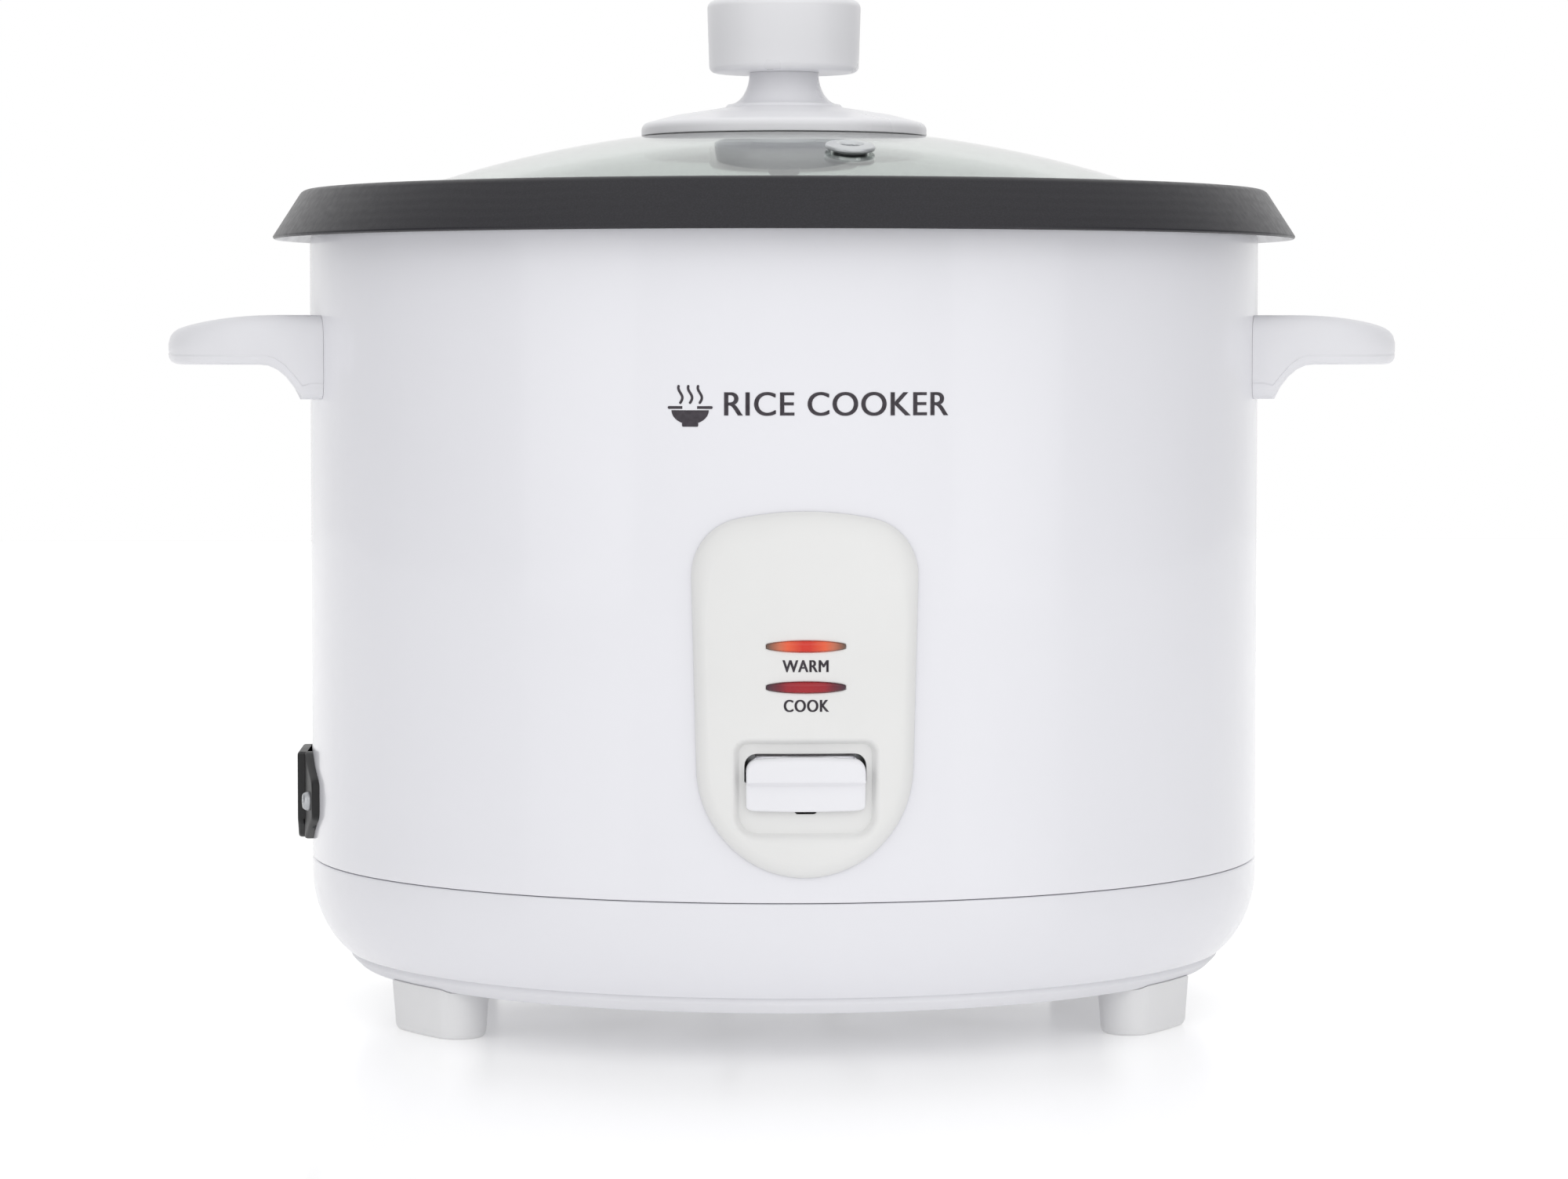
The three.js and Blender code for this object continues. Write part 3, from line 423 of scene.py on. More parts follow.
def turned(profile, angles=None):
    """Points, faces and the profile row of each face, for a profile of (radius, z) turned about Z.
    A profile that stays off the axis is closed on itself."""
    angles = angles or even_angles()
    points = []
    rows = []
    for radius, z in profile:
        if radius < 1e-6:
            rows.append([len(points)])
            points.append((0, 0, z))
            continue
        rows.append(list(range(len(points), len(points) + len(angles))))
        points += [(radius * math.cos(a), radius * math.sin(a), z) for a in angles]
    ring = len(rows[0]) > 1 or len(rows[-1]) > 1
    pairs = list(zip(range(len(rows)), [*range(1, len(rows)), 0]))
    faces = []
    owners = []
    for first, second in pairs if ring else pairs[:-1]:
        for j in range(len(angles)):
            a, b = rows[first], rows[second]
            n = (j + 1) % len(angles)
            if len(a) == 1:
                face = (a[0], b[n], b[j])
            elif len(b) == 1:
                face = (a[j], a[n], b[0])
            else:
                face = (a[j], a[n], b[n], b[j])
            faces.append(face)
            owners.append(first)
    return points, faces, owners


def lathe(name, profile, *materials, pick=None, smooth=32, angles=None):
    """A turned object. pick gives a face's material from its row in the profile."""
    points, faces, owners = turned(profile, angles)
    picks = [pick(row) for row in owners] if pick else None
    return make(name, points, faces, *materials, smooth=smooth, picks=picks)


def cut_windows(piece, windows):
    """Opens a window through a double-walled turned piece for each (low corner, high corner) in
    millimetres, and joins the two walls along the window's edge."""
    shell = bmesh.new()
    shell.from_mesh(piece.data)
    for corner_low, corner_high in windows:
        lower, upper = Vector(corner_low) * MM, Vector(corner_high) * MM

        def inside(point):
            return all(lower[k] < point[k] < upper[k] for k in range(3))

        gone = [face for face in shell.faces if inside(face.calc_center_median())]
        rim = {edge for face in gone for edge in face.edges}
        bmesh.ops.delete(shell, geom=gone, context="FACES")
        rim = [edge for edge in rim if edge.is_valid and edge.is_boundary]
        bmesh.ops.bridge_loops(shell, edges=rim)
    bmesh.ops.recalc_face_normals(shell, faces=shell.faces)
    shell.to_mesh(piece.data)
    shell.free()
    piece.data.set_sharp_from_angle(angle=math.radians(32))
    return piece


def within(point, outline):
    """True if the point is inside the closed outline."""
    x, y = point
    found = False
    for (ax, ay), (bx, by) in zip(outline, outline[1:] + outline[:1]):
        if (ay > y) != (by > y) and x < (bx - ax) * (y - ay) / (by - ay) + ax:
            found = not found
    return found


def inset(outline, distance):
    """The outline moved to its left side, which is inwards for an anticlockwise outline."""
    moved = []
    count = len(outline)
    for k, (x, y) in enumerate(outline):
        ahead = Vector(outline[(k + 1) % count]) - Vector(outline[k - 1])
        normal = Vector((-ahead.y, ahead.x)).normalized() * at(distance, x, y)
        moved.append((x + normal.x, y + normal.y))
    return moved


def at(value, u, v):
    """A height or a width, which may be a number or a function of the place in the drawing."""
    return value(u, v) if callable(value) else value


def split(profile, levels):
    """The closed profile with a point wherever one of its lines crosses a level."""
    points = []
    for (r0, z0), (r1, z1) in zip(profile, profile[1:] + profile[:1]):
        points.append((r0, z0))
        crossed = [z for z in levels if min(z0, z1) < z < max(z0, z1)]
        for z in sorted(crossed, reverse=z1 < z0):
            points.append((r0 + (r1 - r0) * (z - z0) / (z1 - z0), z))
    return points


def circle(x, y, radius, count=32):
    angles = [2 * math.pi * k / count for k in range(count)]
    return [(x + radius * math.cos(a), y + radius * math.sin(a)) for a in angles]


def bezier(a, b, c, d, steps=12):
    """Points along a cubic curve, without the first."""
    points = []
    for k in range(1, steps + 1):
        t = k / steps
        shares = ((1 - t) ** 3, 3 * t * (1 - t) ** 2, 3 * t * t * (1 - t), t ** 3)
        points.append(tuple(sum(w * p[j] for w, p in zip(shares, (a, b, c, d))) for j in range(2)))
    return points


def resampled(outline, spacing):
    """The closed outline with points at an even spacing."""
    corners = [Vector(point) for point in outline]
    corners.append(corners[0])
    lengths = [(b - a).length for a, b in zip(corners, corners[1:])]
    total = sum(lengths)
    count = max(round(total / spacing), 8)
    points = []
    k = 0
    passed = 0.0
    for step in range(count):
        target = total * step / count
        while passed + lengths[k] < target:
            passed += lengths[k]
            k += 1
        point = corners[k].lerp(corners[k + 1], (target - passed) / lengths[k])
        points.append((point.x, point.y))
    return points


class Skin:
    """A mesh made of loops drawn in a flat (u, v) plane, each at its own height, placed in space."""

    def __init__(self, place):
        self.place = place
        self.flat = []
        self.points = []
        self.faces = []

    def loop(self, outline, height):
        start = len(self.points)
        for u, v in outline:
            self.flat.append((u, v))
            self.points.append(self.place(u, v, at(height, u, v)))
        return list(range(start, len(self.points)))

    def wall(self, first, second):
        count = len(first)
        for k in range(count):
            n = (k + 1) % count
            self.faces.append((first[k], first[n], second[n], second[k]))

    def roll(self, outline, face, depth, width, steps=5, power=2.0):
        """Loops that roll from the face over an edge, down by depth. The edge lies on the outline, and
        the roll takes width on its left side. Returns the loop on the face and the loop on the edge."""
        loops = []
        for step in range(steps + 1):
            share = step / steps
            fall = 1 - (1 - share ** power) ** (1 / power)
            ring = inset(outline, lambda u, v: at(width, u, v) * (1 - share))
            loops.append(self.loop(ring, lambda u, v: at(face, u, v) - depth * fall))
        self.walls(loops)
        return loops[0], loops[-1]

    def walls(self, loops):
        for first, second in zip(loops, loops[1:]):
            self.wall(first, second)

    def fill(self, outer, holes, height, spacing=2.0):
        """Fills the area between loops with triangles that follow the height."""
        rims = [outer, *holes]
        outlines = [[self.flat[k] for k in rim] for rim in rims]
        owner = [k for rim in rims for k in rim]
        edges = []
        start = 0
        for rim in rims:
            edges += [(start + k, start + (k + 1) % len(rim)) for k in range(len(rim))]
            start += len(rim)
        rim_points = np.array([self.flat[k] for k in owner])
        least, most = rim_points.min(0), rim_points.max(0)
        for v in np.arange(least[1] + spacing / 2, most[1], spacing):
            for u in np.arange(least[0] + spacing / 2, most[0], spacing):
                near = np.min(np.hypot(*(rim_points - (u, v)).T))
                if near < 0.6 * spacing or not self.covers((u, v), outlines):
                    continue
                owner.append(len(self.points))
                self.flat.append((u, v))
                self.points.append(self.place(u, v, at(height, u, v)))
        flat = [Vector(self.flat[k]) for k in owner]
        _, _, triangles, origins, _, _ = delaunay_2d_cdt(flat, edges, [], 0, 1e-7)
        for triangle in triangles:
            corners = [owner[origins[k][0]] for k in triangle]
            middle = sum((Vector(self.flat[k]) for k in corners), Vector((0, 0))) / 3
            if self.covers(middle, outlines):
                self.faces.append(tuple(corners))

    @staticmethod
    def covers(point, outlines):
        return within(point, outlines[0]) and not any(within(point, hole) for hole in outlines[1:])


def on_drum(radius):
    """Placing function for a drawing on the front of the drum, with heights above the radius. The
    drawing is as seen from the front."""
    def place(u, v, height):
        angle = math.asin(u / PANEL_FACE)
        reach = radius + height
        return (reach * math.sin(angle), -reach * math.cos(angle), v)
    return place


def tube(name, path, radius, material, sides=16, closed=False):
    """A round bar along a path of points in millimetres."""
    path = [Vector(point) for point in path]
    points = []
    side = None
    for k, point in enumerate(path):
        ahead = (path[min(k + 1, len(path) - 1)] - path[max(k - 1, 0)]).normalized()
        if side is None:
            side = ahead.orthogonal().normalized()
        side = (side - ahead * side.dot(ahead)).normalized()
        across = ahead.cross(side)
        for j in range(sides):
            angle = 2 * math.pi * j / sides
            points.append(point + (side * math.cos(angle) + across * math.sin(angle)) * radius)
    faces = []
    for k in range(len(path) - 1):
        for j in range(sides):
            n = (j + 1) % sides
            faces.append((k * sides + j, k * sides + n, (k + 1) * sides + n, (k + 1) * sides + j))
    faces.append(tuple(range(sides)))
    faces.append(tuple(range(len(points) - sides, len(points))))
    return make(name, points, faces, material)


def carve(piece, cutter):
    """Cuts the cutter's shape out of the piece, and drops the cutter."""
    boolean = piece.modifiers.new("carve", "BOOLEAN")
    boolean.object = cutter
    boolean.solver = "EXACT"
    bpy.context.view_layer.update()
    evaluated = piece.evaluated_get(bpy.context.evaluated_depsgraph_get())
    carved = bpy.data.meshes.new_from_object(evaluated)
    piece.modifiers.clear()
    piece.data = carved
    bpy.data.objects.remove(cutter)
    return piece


def screw(name, body, slot, origin, direction, head, head_height, shank, length):
    """A pan-head screw with a cross recess, its head's underside at the origin."""
    turn = Vector(direction).to_track_quat("Z", "Y").to_matrix()

    def place(u, v, height):
        return Vector(origin) + turn @ Vector((u, v, height))

    count = 48
    skin = Skin(place)
    dome = []
    for share in (0.0, 0.25, 0.5, 0.75, 0.93, 1.0):
        height = head_height * (1 - 0.75 * share ** 2.4)
        dome.append(skin.loop(circle(0, 0, head * (0.62 + 0.38 * share), count), height))
    neck = skin.loop(circle(0, 0, head, count), 0)
    under = skin.loop(circle(0, 0, shank, count), 0)
    end = skin.loop(circle(0, 0, shank, count), 0.8 - length)
    tip = skin.loop(circle(0, 0, shank * 0.6, count), -length)
    skin.walls([*dome, neck, under, end, tip])
    arm, thick = head * 0.5, head * 0.13
    cross = []
    for k in range(4):
        for u, v in ((arm, -thick), (arm, thick), (thick, thick)):
            cosine, sine = math.cos(k * math.pi / 2), math.sin(k * math.pi / 2)
            cross.append((u * cosine - v * sine, u * sine + v * cosine))
    mouth = skin.loop(cross, head_height)
    floor = skin.loop([(u * 0.7, v * 0.7) for u, v in cross], head_height * 0.45)
    skin.wall(mouth, floor)
    skin.fill(dome[0], [mouth], head_height, spacing=9)
    skin.fill(floor, [], head_height * 0.45, spacing=9)
    skin.fill(tip, [], -length, spacing=9)
    piece = make(name + "_fine", skin.points, skin.faces, ZINC)
    return stands_for(piece, body, slot, name)


# ---------------------------------------------------------------- housing
PANEL_OPENING = {"half": 18.6, "low": 56, "high": 112}
INLET_OPENING = {"half": 14.1, "low": 46, "high": 67}


def drum():
    """The painted drum, rolled in at its top, with openings behind the panel and the inlet."""
    inner = DRUM_R - SHEET
    lip = LINER_R + 1.6
    profile = rounded([
        (DRUM_R, DRUM_LOW, 0.35), (DRUM_R, DRUM_TOP, 2.4), (lip, DRUM_TOP, 0.4),
        (lip, DRUM_TOP - SHEET, 0.4), (inner, DRUM_TOP - SHEET, 1.3), (inner, DRUM_LOW, 0.3),
    ], closed=True)
    levels = [INLET_OPENING["low"], PANEL_OPENING["low"], INLET_OPENING["high"], PANEL_OPENING["high"]]
    front = math.asin(PANEL_OPENING["half"] / DRUM_R)
    side = math.asin(INLET_OPENING["half"] / DRUM_R)
    edges = [-math.pi / 2 - front, -math.pi / 2 + front, math.pi - side, math.pi + side]
    piece = lathe("drum_shell", split(profile, levels), PAINT, angles=even_angles(extra=edges))
    far, near = -DRUM_R - 9, 9 - DRUM_R
    cut_windows(piece, [
        ((-PANEL_OPENING["half"], far, PANEL_OPENING["low"]),
         (PANEL_OPENING["half"], near, PANEL_OPENING["high"])),
        ((far, -INLET_OPENING["half"], INLET_OPENING["low"]),
         (near, INLET_OPENING["half"], INLET_OPENING["high"])),
    ])
    return stands_for(piece, "housing", "painted_drum", "body_shell")


def liner():
    """The zinc-coated casing inside the drum, which the pot hangs in."""
    inner = LINER_R - SHEET
    top = DRUM_TOP - SHEET - GAP
    flange = DRUM_R - SHEET - 1
    hole = 96
    profile = rounded([
        (hole, LINER_LOW, 0.4), (LINER_R, LINER_LOW, 4.2), (LINER_R, top - SHEET, 1.0),
        (flange, top - SHEET, 0.4), (flange, top, 0.4), (inner, top, 2.2),
        (inner, LINER_LOW + SHEET, 3.0), (hole, LINER_LOW + SHEET, 0.4),
    ], closed=True)
    piece = lathe("liner_casing", profile, CASING_METAL)
    return stands_for(piece, "housing", "inner_casing", "inner_liner")


def bowl():
    """The painted bowl under the drum. Its wall curves in to the bottom as part of an ellipse."""
    waist = 37
    across, down = 20.6, 25
    arc = []
    for k in range(13):
        z = waist - (waist - BOWL_LOW) * k / 12
        r = DRUM_R - across * (1 - math.sqrt(1 - ((waist - z) / down) ** 2))
        arc.append((r, z, 0.5 if k == 12 else 0))
    profile = rounded([
        (DRUM_R, SEAM, 0.6), *arc, (100, BOWL_LOW, 0.3), (100, BOWL_LOW + 1.7, 0.3),
        (115.2, BOWL_LOW + 1.7, 4), (DRUM_R - 2.8, 32, 6), (DRUM_R - 2.8, SEAM + 5, 0.4),
        (DRUM_R - 1.5, SEAM + 5, 0.4), (DRUM_R - 1.5, SEAM, 0.2),
    ], closed=True)
    piece = lathe("lower_bowl", profile, BOWL_PAINT)
    return stands_for(piece, "housing", "painted_bowl", "base_bowl")


def cover():
    """The bottom cover: a shallow pan with a ring of vent slots and a stiffening ring."""
    count = 144
    skin = Skin(lambda u, v, height: (u, v, height))
    under = rounded([
        (109, COVER_LOW, 0), (113.4, COVER_LOW, 1.8), (116, BOWL_LOW - 1.6, 0.8),
        (116, BOWL_LOW - SEAT_GAP, 0.1), (113.8, BOWL_LOW - SEAT_GAP, 0.3), (112.2, COVER_LOW + 2, 1.5),
        (108.5, COVER_LOW + 2, 0),
    ])
    rings = [skin.loop(circle(0, 0, r, count), z) for r, z in under]
    skin.walls(rings)
    slot = rounded([(48, -2.5, 2.4), (78, -2.5, 2.4), (78, 2.5, 2.4), (48, 2.5, 2.4)], True, 5)
    low_holes, high_holes = [], []
    for k in range(12):
        angle = math.radians(30 * k + 15)
        cosine, sine = math.cos(angle), math.sin(angle)
        outline = [(u * cosine - v * sine, u * sine + v * cosine) for u, v in slot]
        low_holes.append(skin.loop(outline, COVER_LOW))
        high_holes.append(skin.loop(outline, COVER_LOW + 2))
        skin.wall(low_holes[-1], high_holes[-1])
    bead = [skin.loop(circle(0, 0, r, count), COVER_LOW + lift)
            for r, lift in ((36.8, 0), (37.3, 0.5), (38, 0.7), (38.7, 0.5), (39.2, 0))]
    skin.walls(bead)
    skin.fill(rings[0], [*low_holes, bead[-1]], COVER_LOW, spacing=7)
    skin.fill(bead[0], [], COVER_LOW, spacing=9)
    skin.fill(rings[-1], high_holes, COVER_LOW + 2, spacing=7)
    piece = make("bottom_pan", skin.points, skin.faces, COVER_PLASTIC)
    return stands_for(piece, "housing", "cover_plastic", "bottom_cover")


FOOT_TOP = COVER_LOW - SEAT_GAP
FOOT_MIDDLE = 107
FOOT_HALF = 17.2
FOOT_DEPTH = 15


def foot(place_name, angle):
    """A moulded foot with round ends, narrower at the floor, whose top follows the pan and its slope."""
    turn = math.radians(angle)

    def place(u, v, height):
        shrink = 1 - 0.08 * (1 - height / FOOT_TOP)
        reach = FOOT_MIDDLE + (u - FOOT_MIDDLE) * shrink
        way = turn + v * shrink / FOOT_MIDDLE
        return (reach * math.cos(way), reach * math.sin(way), height)

    def seat(u, v):
        return FOOT_TOP + 0.8 * max(u - 113.3, 0)

    skin = Skin(place)
    end = FOOT_DEPTH / 2
    inner, outer = FOOT_MIDDLE - end, FOOT_MIDDLE + end
    outline = resampled(rounded([
        (inner, -FOOT_HALF, end), (outer, -FOOT_HALF, end), (outer, FOOT_HALF, end),
        (inner, FOOT_HALF, end),
    ], True, 12), 1.0)
    sole, heel = skin.roll(outline, 0, -1.4, 1.4)
    top, shoulder = skin.roll(outline, seat, 0.5, 0.5, steps=3)
    skin.wall(heel, shoulder)
    recess = [(4.5, 0), (4.5, 6), (2.2, 6), (2.2, FOOT_TOP)]
    bore = [skin.loop(circle(FOOT_MIDDLE, 0, radius), z) for radius, z in recess]
    skin.walls(bore)
    skin.fill(sole, [bore[0]], 0, spacing=3)
    skin.fill(top, [bore[-1]], seat, spacing=3)
    piece = make("moulded_foot_" + place_name, skin.points, skin.faces, FOOT_PLASTIC)
    stands_for(piece, "housing", "foot_plastic", "foot_" + place_name)
    spot = (FOOT_MIDDLE * math.cos(turn), FOOT_MIDDLE * math.sin(turn), 6)
    screw("foot_screw_" + place_name, "housing", "screw_steel", spot, (0, 0, -1), 3.6, 2.2, 1.8, 14)


# ---------------------------------------------------------------- handles
HANDLE_UNDER = HANDLE_LOW + 9
HANDLE_FLAT = 132


def round_end(y, length, drop):
    """How far a quarter ellipse falls over the last stretch before the handle's side."""
    share = min(max(abs(y) - (HANDLE_HALF - length), 0) / length, 1)
    return drop * (1 - math.sqrt(1 - share ** 2))


def handle_top(x, y):
    """The shelf is flat near the drum and falls away towards its tip and its sides."""
    share = max(x - HANDLE_FLAT, 0) / (HANDLE_REACH - HANDLE_FLAT)
    return HANDLE_TOP - 4.4 * share ** 2.2 - round_end(y, 4, 2.6)


def handle_under(x, y):
    """The underside is flat, with a bracket that curves down to the drum and a rise at the tip."""
    bracket = min(max(137 - x, 0) / 9.8, 1)
    curve = 0.6 * bracket ** 2 + 0.4 * (1 - math.sqrt(1 - bracket ** 2))
    tip = max(x - (HANDLE_REACH - 5), 0) / 5
    return HANDLE_UNDER - 9 * curve + 0.7 * tip ** 2 + round_end(y, 3, 2)


def handle_outline(shrink):
    """The plan of the handle, anticlockwise, drawn in from its free edge but not from the drum."""
    half = HANDLE_HALF - shrink

    def on_wall(y):
        return (math.sqrt((DRUM_R + SEAT_GAP) ** 2 - y * y), y)

    bow = [(124, -HANDLE_HALF)]
    bow += bezier(bow[0], (140, 1 - HANDLE_HALF), (HANDLE_REACH, -30), (HANDLE_REACH, 0), 22)
    edge = [(122.5, -HANDLE_HALF), *bow, *[(x, -y) for x, y in bow[-2::-1]], (122.5, HANDLE_HALF)]
    edge = inset([on_wall(-HANDLE_HALF), *edge, on_wall(HANDLE_HALF)], shrink)
    edge[0], edge[-1] = on_wall(-half), on_wall(half)
    return edge + [on_wall(half - 2 * half * k / 24) for k in range(1, 24)]


def handle(side, sign):
    """A hollow-backed carrying handle that hugs the drum."""
    skin = Skin(lambda u, v, height: (sign * u, sign * v, height))
    top_width, top_depth = 3, 3
    loops = []
    for step in range(7):
        share = step / 6
        fall = top_depth * (1 - math.sqrt(1 - share ** 2))
        loops.append(skin.loop(handle_outline(top_width * (1 - share)),
                               lambda u, v: handle_top(u, v) - fall))
    skin.fill(loops[0], [], handle_top, spacing=2.2)
    groove = ((0, 3), (0.15, 2.7), (0.15, 2.4), (0, 2.1))
    lower_edge = ((0.1, 1.3), (0.5, 0.5), (1.2, 0.1), (2, 0))
    for shrink, lift in groove + lower_edge:
        loops.append(skin.loop(handle_outline(shrink), lambda u, v: handle_under(u, v) + lift))
    skin.walls(loops)
    tip = HANDLE_REACH - 4
    bow = [(133.5, -27), *bezier((133.5, -27), (146, -28), (tip, -18), (tip, 0), 16)]
    pocket = resampled([*bow, *[(x, -y) for x, y in bow[-2::-1]]], 2)
    mouth, sill = skin.roll(pocket, handle_under, 0, -0.5, steps=2)
    ceiling = skin.loop(inset(pocket, 1.0), lambda u, v: handle_top(u, v) - 2.8)
    skin.wall(sill, ceiling)
    skin.fill(loops[-1], [mouth], handle_under, spacing=1.6)
    skin.fill(ceiling, [], lambda u, v: handle_top(u, v) - 2.8, spacing=2.5)
    piece = make(side + "_carrying_handle", skin.points, skin.faces, HANDLE_PLASTIC)
    stands_for(piece, "housing", "handle_plastic", side + "_handle")
    for k, swing in enumerate((-9, 9)):
        way = math.radians(swing) + (0 if sign > 0 else math.pi)
        outwards = Vector((math.cos(way), math.sin(way), 0))
        spot = outwards * (DRUM_R - SHEET - GAP) + Vector((0, 0, 175))
        screw(f"{side}_handle_screw_{k + 1}", "housing", "screw_steel", spot, -outwards, 3.6, 2, 1.8, 7)


# ---------------------------------------------------------------- control panel
LENS_HALF = 9.5
LENS_TALL = 1.25
WARM_Z = 103.5
COOK_Z = 93.6
WINDOW_GAP = 0.08
POCKET_DEPTH = 2.4


def panel_outline():
    """A round bottom, sides that open slightly upwards, and an arched top with large corners."""
    half = PANEL_HALF
    low = half - 1.5
    centre = PANEL_LOW + low
    arc = [math.pi + math.pi * k / 40 for k in range(41)]
    outline = [(low * math.cos(a), centre + low * math.sin(a), 0) for a in arc]
    peak = PANEL_TOP + 1.2
    outline += [(half, peak - 5, 14), (0, peak, 80), (-half, peak - 5, 14)]
    return resampled(rounded(outline, True, 14), 1.3)


def lens_outline(z, grow):
    """A slim oval with blunt points at its ends."""
    half, tall = LENS_HALF + grow, LENS_TALL + grow
    blunt = 0.35 * tall
    right = [(0, z - tall)]
    right += bezier((0, z - tall), (half * 0.4, z - tall), (half * 0.75, z - 0.8 * tall),
                    (half, z - blunt))
    right += [(u, 2 * z - v) for u, v in right[::-1]]
    return right + [(-u, v) for u, v in right[-2:0:-1]]


def control_panel():
    """The panel follows the drum. It has a soft edge, two lens windows and a pocket for the switch."""
    skin = Skin(on_drum(PANEL_FACE))
    back = -3.0

    def soft(u, v):
        return 3.8 + 3.2 * min(max((v - PANEL_TOP + 26) / 24, 0), 1)

    face, edge = skin.roll(panel_outline(), 0, 3, soft, steps=9, power=1.5)
    rear = skin.loop(inset(panel_outline(), 0.3), back)
    skin.wall(edge, rear)

    holes, rear_holes = [], []
    for z in (WARM_Z, COOK_Z):
        lip, throat = skin.roll(lens_outline(z, WINDOW_GAP), 0, 0.5, -0.6, steps=3)
        end = skin.loop(lens_outline(z, WINDOW_GAP), back)
        skin.wall(throat, end)
        holes.append(lip)
        rear_holes.append(end)

    pocket = resampled(rounded([
        (-16.8, 57.6, 5), (16.8, 57.6, 5), (16.8, 80.1, 2.5), (-16.8, 80.1, 2.5)], True), 1.0)

    def brim_width(u, v):
        return -1.3 - 2.4 * min(max((62 - v) / 4, 0), 1) * max(1 - (u / 14) ** 2, 0)

    brim, fall = skin.roll(pocket, 0, 1.8, brim_width, steps=7, power=1.7)
    floor = skin.loop(inset(pocket, 0.4), -POCKET_DEPTH)
    skin.wall(fall, floor)
    holes.append(brim)
    slit = rounded([
        (-12.6, 63.7, 0.6), (-2.9, 63.7, 0.3), (-2.6, 62.7, 0.6), (2.6, 62.7, 0.6), (2.9, 63.7, 0.3),
        (12.6, 63.7, 0.6), (12.6, 69.6, 0.4), (15.1, 70.2, 0.4), (15.1, 77.4, 3), (-15.1, 77.4, 3),
        (-15.1, 70.2, 0.4), (-12.6, 69.6, 0.4)], True, 5)
    slit = resampled(slit, 0.8)
    gate, gate_end = skin.loop(slit, -POCKET_DEPTH), skin.loop(slit, -3.6)
    skin.wall(gate, gate_end)
    skin.fill(floor, [gate], -POCKET_DEPTH, spacing=1.6)

    tray = inset(pocket, -1.2)
    tray_root, tray_end = skin.loop(tray, back), skin.loop(tray, -3.6)
    skin.wall(tray_root, tray_end)
    skin.fill(tray_end, [gate_end], -3.6, spacing=3)
    skin.fill(face, holes, 0, spacing=2.2)
    skin.fill(rear, [*rear_holes, tray_root], back, spacing=4)
    piece = make("front_panel", skin.points, skin.faces, PANEL_PLASTIC)
    return stands_for(piece, "housing", "panel_plastic", "control_panel")


def lens(name, z, material):
    """A crowned lens that stands a little proud of the panel."""
    skin = Skin(on_drum(PANEL_FACE))

    def crown(u, v):
        return 0.35 + 0.45 * (1 - (u / LENS_HALF) ** 2) * (1 - ((v - z) / LENS_TALL) ** 2)

    face, edge = skin.roll(lens_outline(z, 0), crown, 0.35, 0.4, steps=4)
    rear = skin.loop(lens_outline(z, 0), -3.8)
    skin.wall(edge, rear)
    skin.fill(face, [], crown, spacing=0.7)
    skin.fill(rear, [], -3.8, spacing=3)
    piece = make(name + "_light", skin.points, skin.faces, material)
    return stands_for(piece, "housing", name, name)


CAP_CREASE = CAP_LOW + 6.7
CAP_BACK = 127.3
NECK_LOW = 69
NECK_HALF = 12


def cap_profile():
    """The switch cap from the side: (distance from the drum's axis, height)."""
    return rounded([
        (129.4, CAP_LOW, 0.7), (129.4, CAP_CREASE - 0.3, 0.4), (131.4, CAP_CREASE + 0.7, 0.7),
        (131.3, CAP_HIGH, 1.5), (CAP_BACK, CAP_HIGH, 0), (CAP_BACK - 0.3, CAP_HIGH, 0),
        (122.4, CAP_HIGH, 0.3), (122.4, 83, 0.4), (121.4, 83, 0.4), (121.4, NECK_LOW, 0.3),
        (CAP_BACK - 0.3, NECK_LOW, 0), (CAP_BACK, NECK_LOW, 0), (CAP_BACK, CAP_LOW, 0.4),
    ], closed=True, steps=4)


def switch_cap():
    """The rocker's cap: a thin skirt under a proud lip, on a neck that goes through the panel."""
    corner = 2.6

    def place(reach, z, x):
        near_end = max(abs(x) - (CAP_HALF - corner), 0) / corner
        droop = 0.7 * (x / CAP_HALF) ** 2 + corner * (1 - math.sqrt(1 - min(near_end, 1) ** 2))
        if reach < CAP_BACK - 0.15:
            return (x * NECK_HALF / CAP_HALF, -reach, z)
        if reach > 123.5:
            z -= droop * max(z - CAP_CREASE, 0) / (CAP_HIGH - CAP_CREASE)
            z += 0.35 * droop * max(CAP_CREASE - 3 - z, 0) / (CAP_CREASE - 3 - CAP_LOW)
            back = PANEL_FACE - math.sqrt(PANEL_FACE ** 2 - x * x)
            return (x, back - reach, z)
        return (x, -reach, z)

    skin = Skin(place)
    profile = cap_profile()
    stations = [(-CAP_HALF, 0.28), (-CAP_HALF + 0.12, 0.1), (-CAP_HALF + 0.4, 0)]
    steps = 44
    reach = CAP_HALF - 0.9
    stations += [(reach * math.sin(math.pi * (k / steps - 0.5)), 0) for k in range(steps + 1)]
    stations += [(-x, shrink) for x, shrink in stations[2::-1]]
    loops = [skin.loop(inset(profile, shrink), x) for x, shrink in stations]
    skin.walls(loops)
    skin.fill(loops[0], [], -CAP_HALF, spacing=2)
    skin.fill(loops[-1], [], CAP_HALF, spacing=2)
    piece = make("rocker_cap", skin.points, skin.faces, CAP_PLASTIC)
    return stands_for(piece, "switch", "switch_plastic", "switch_cap")


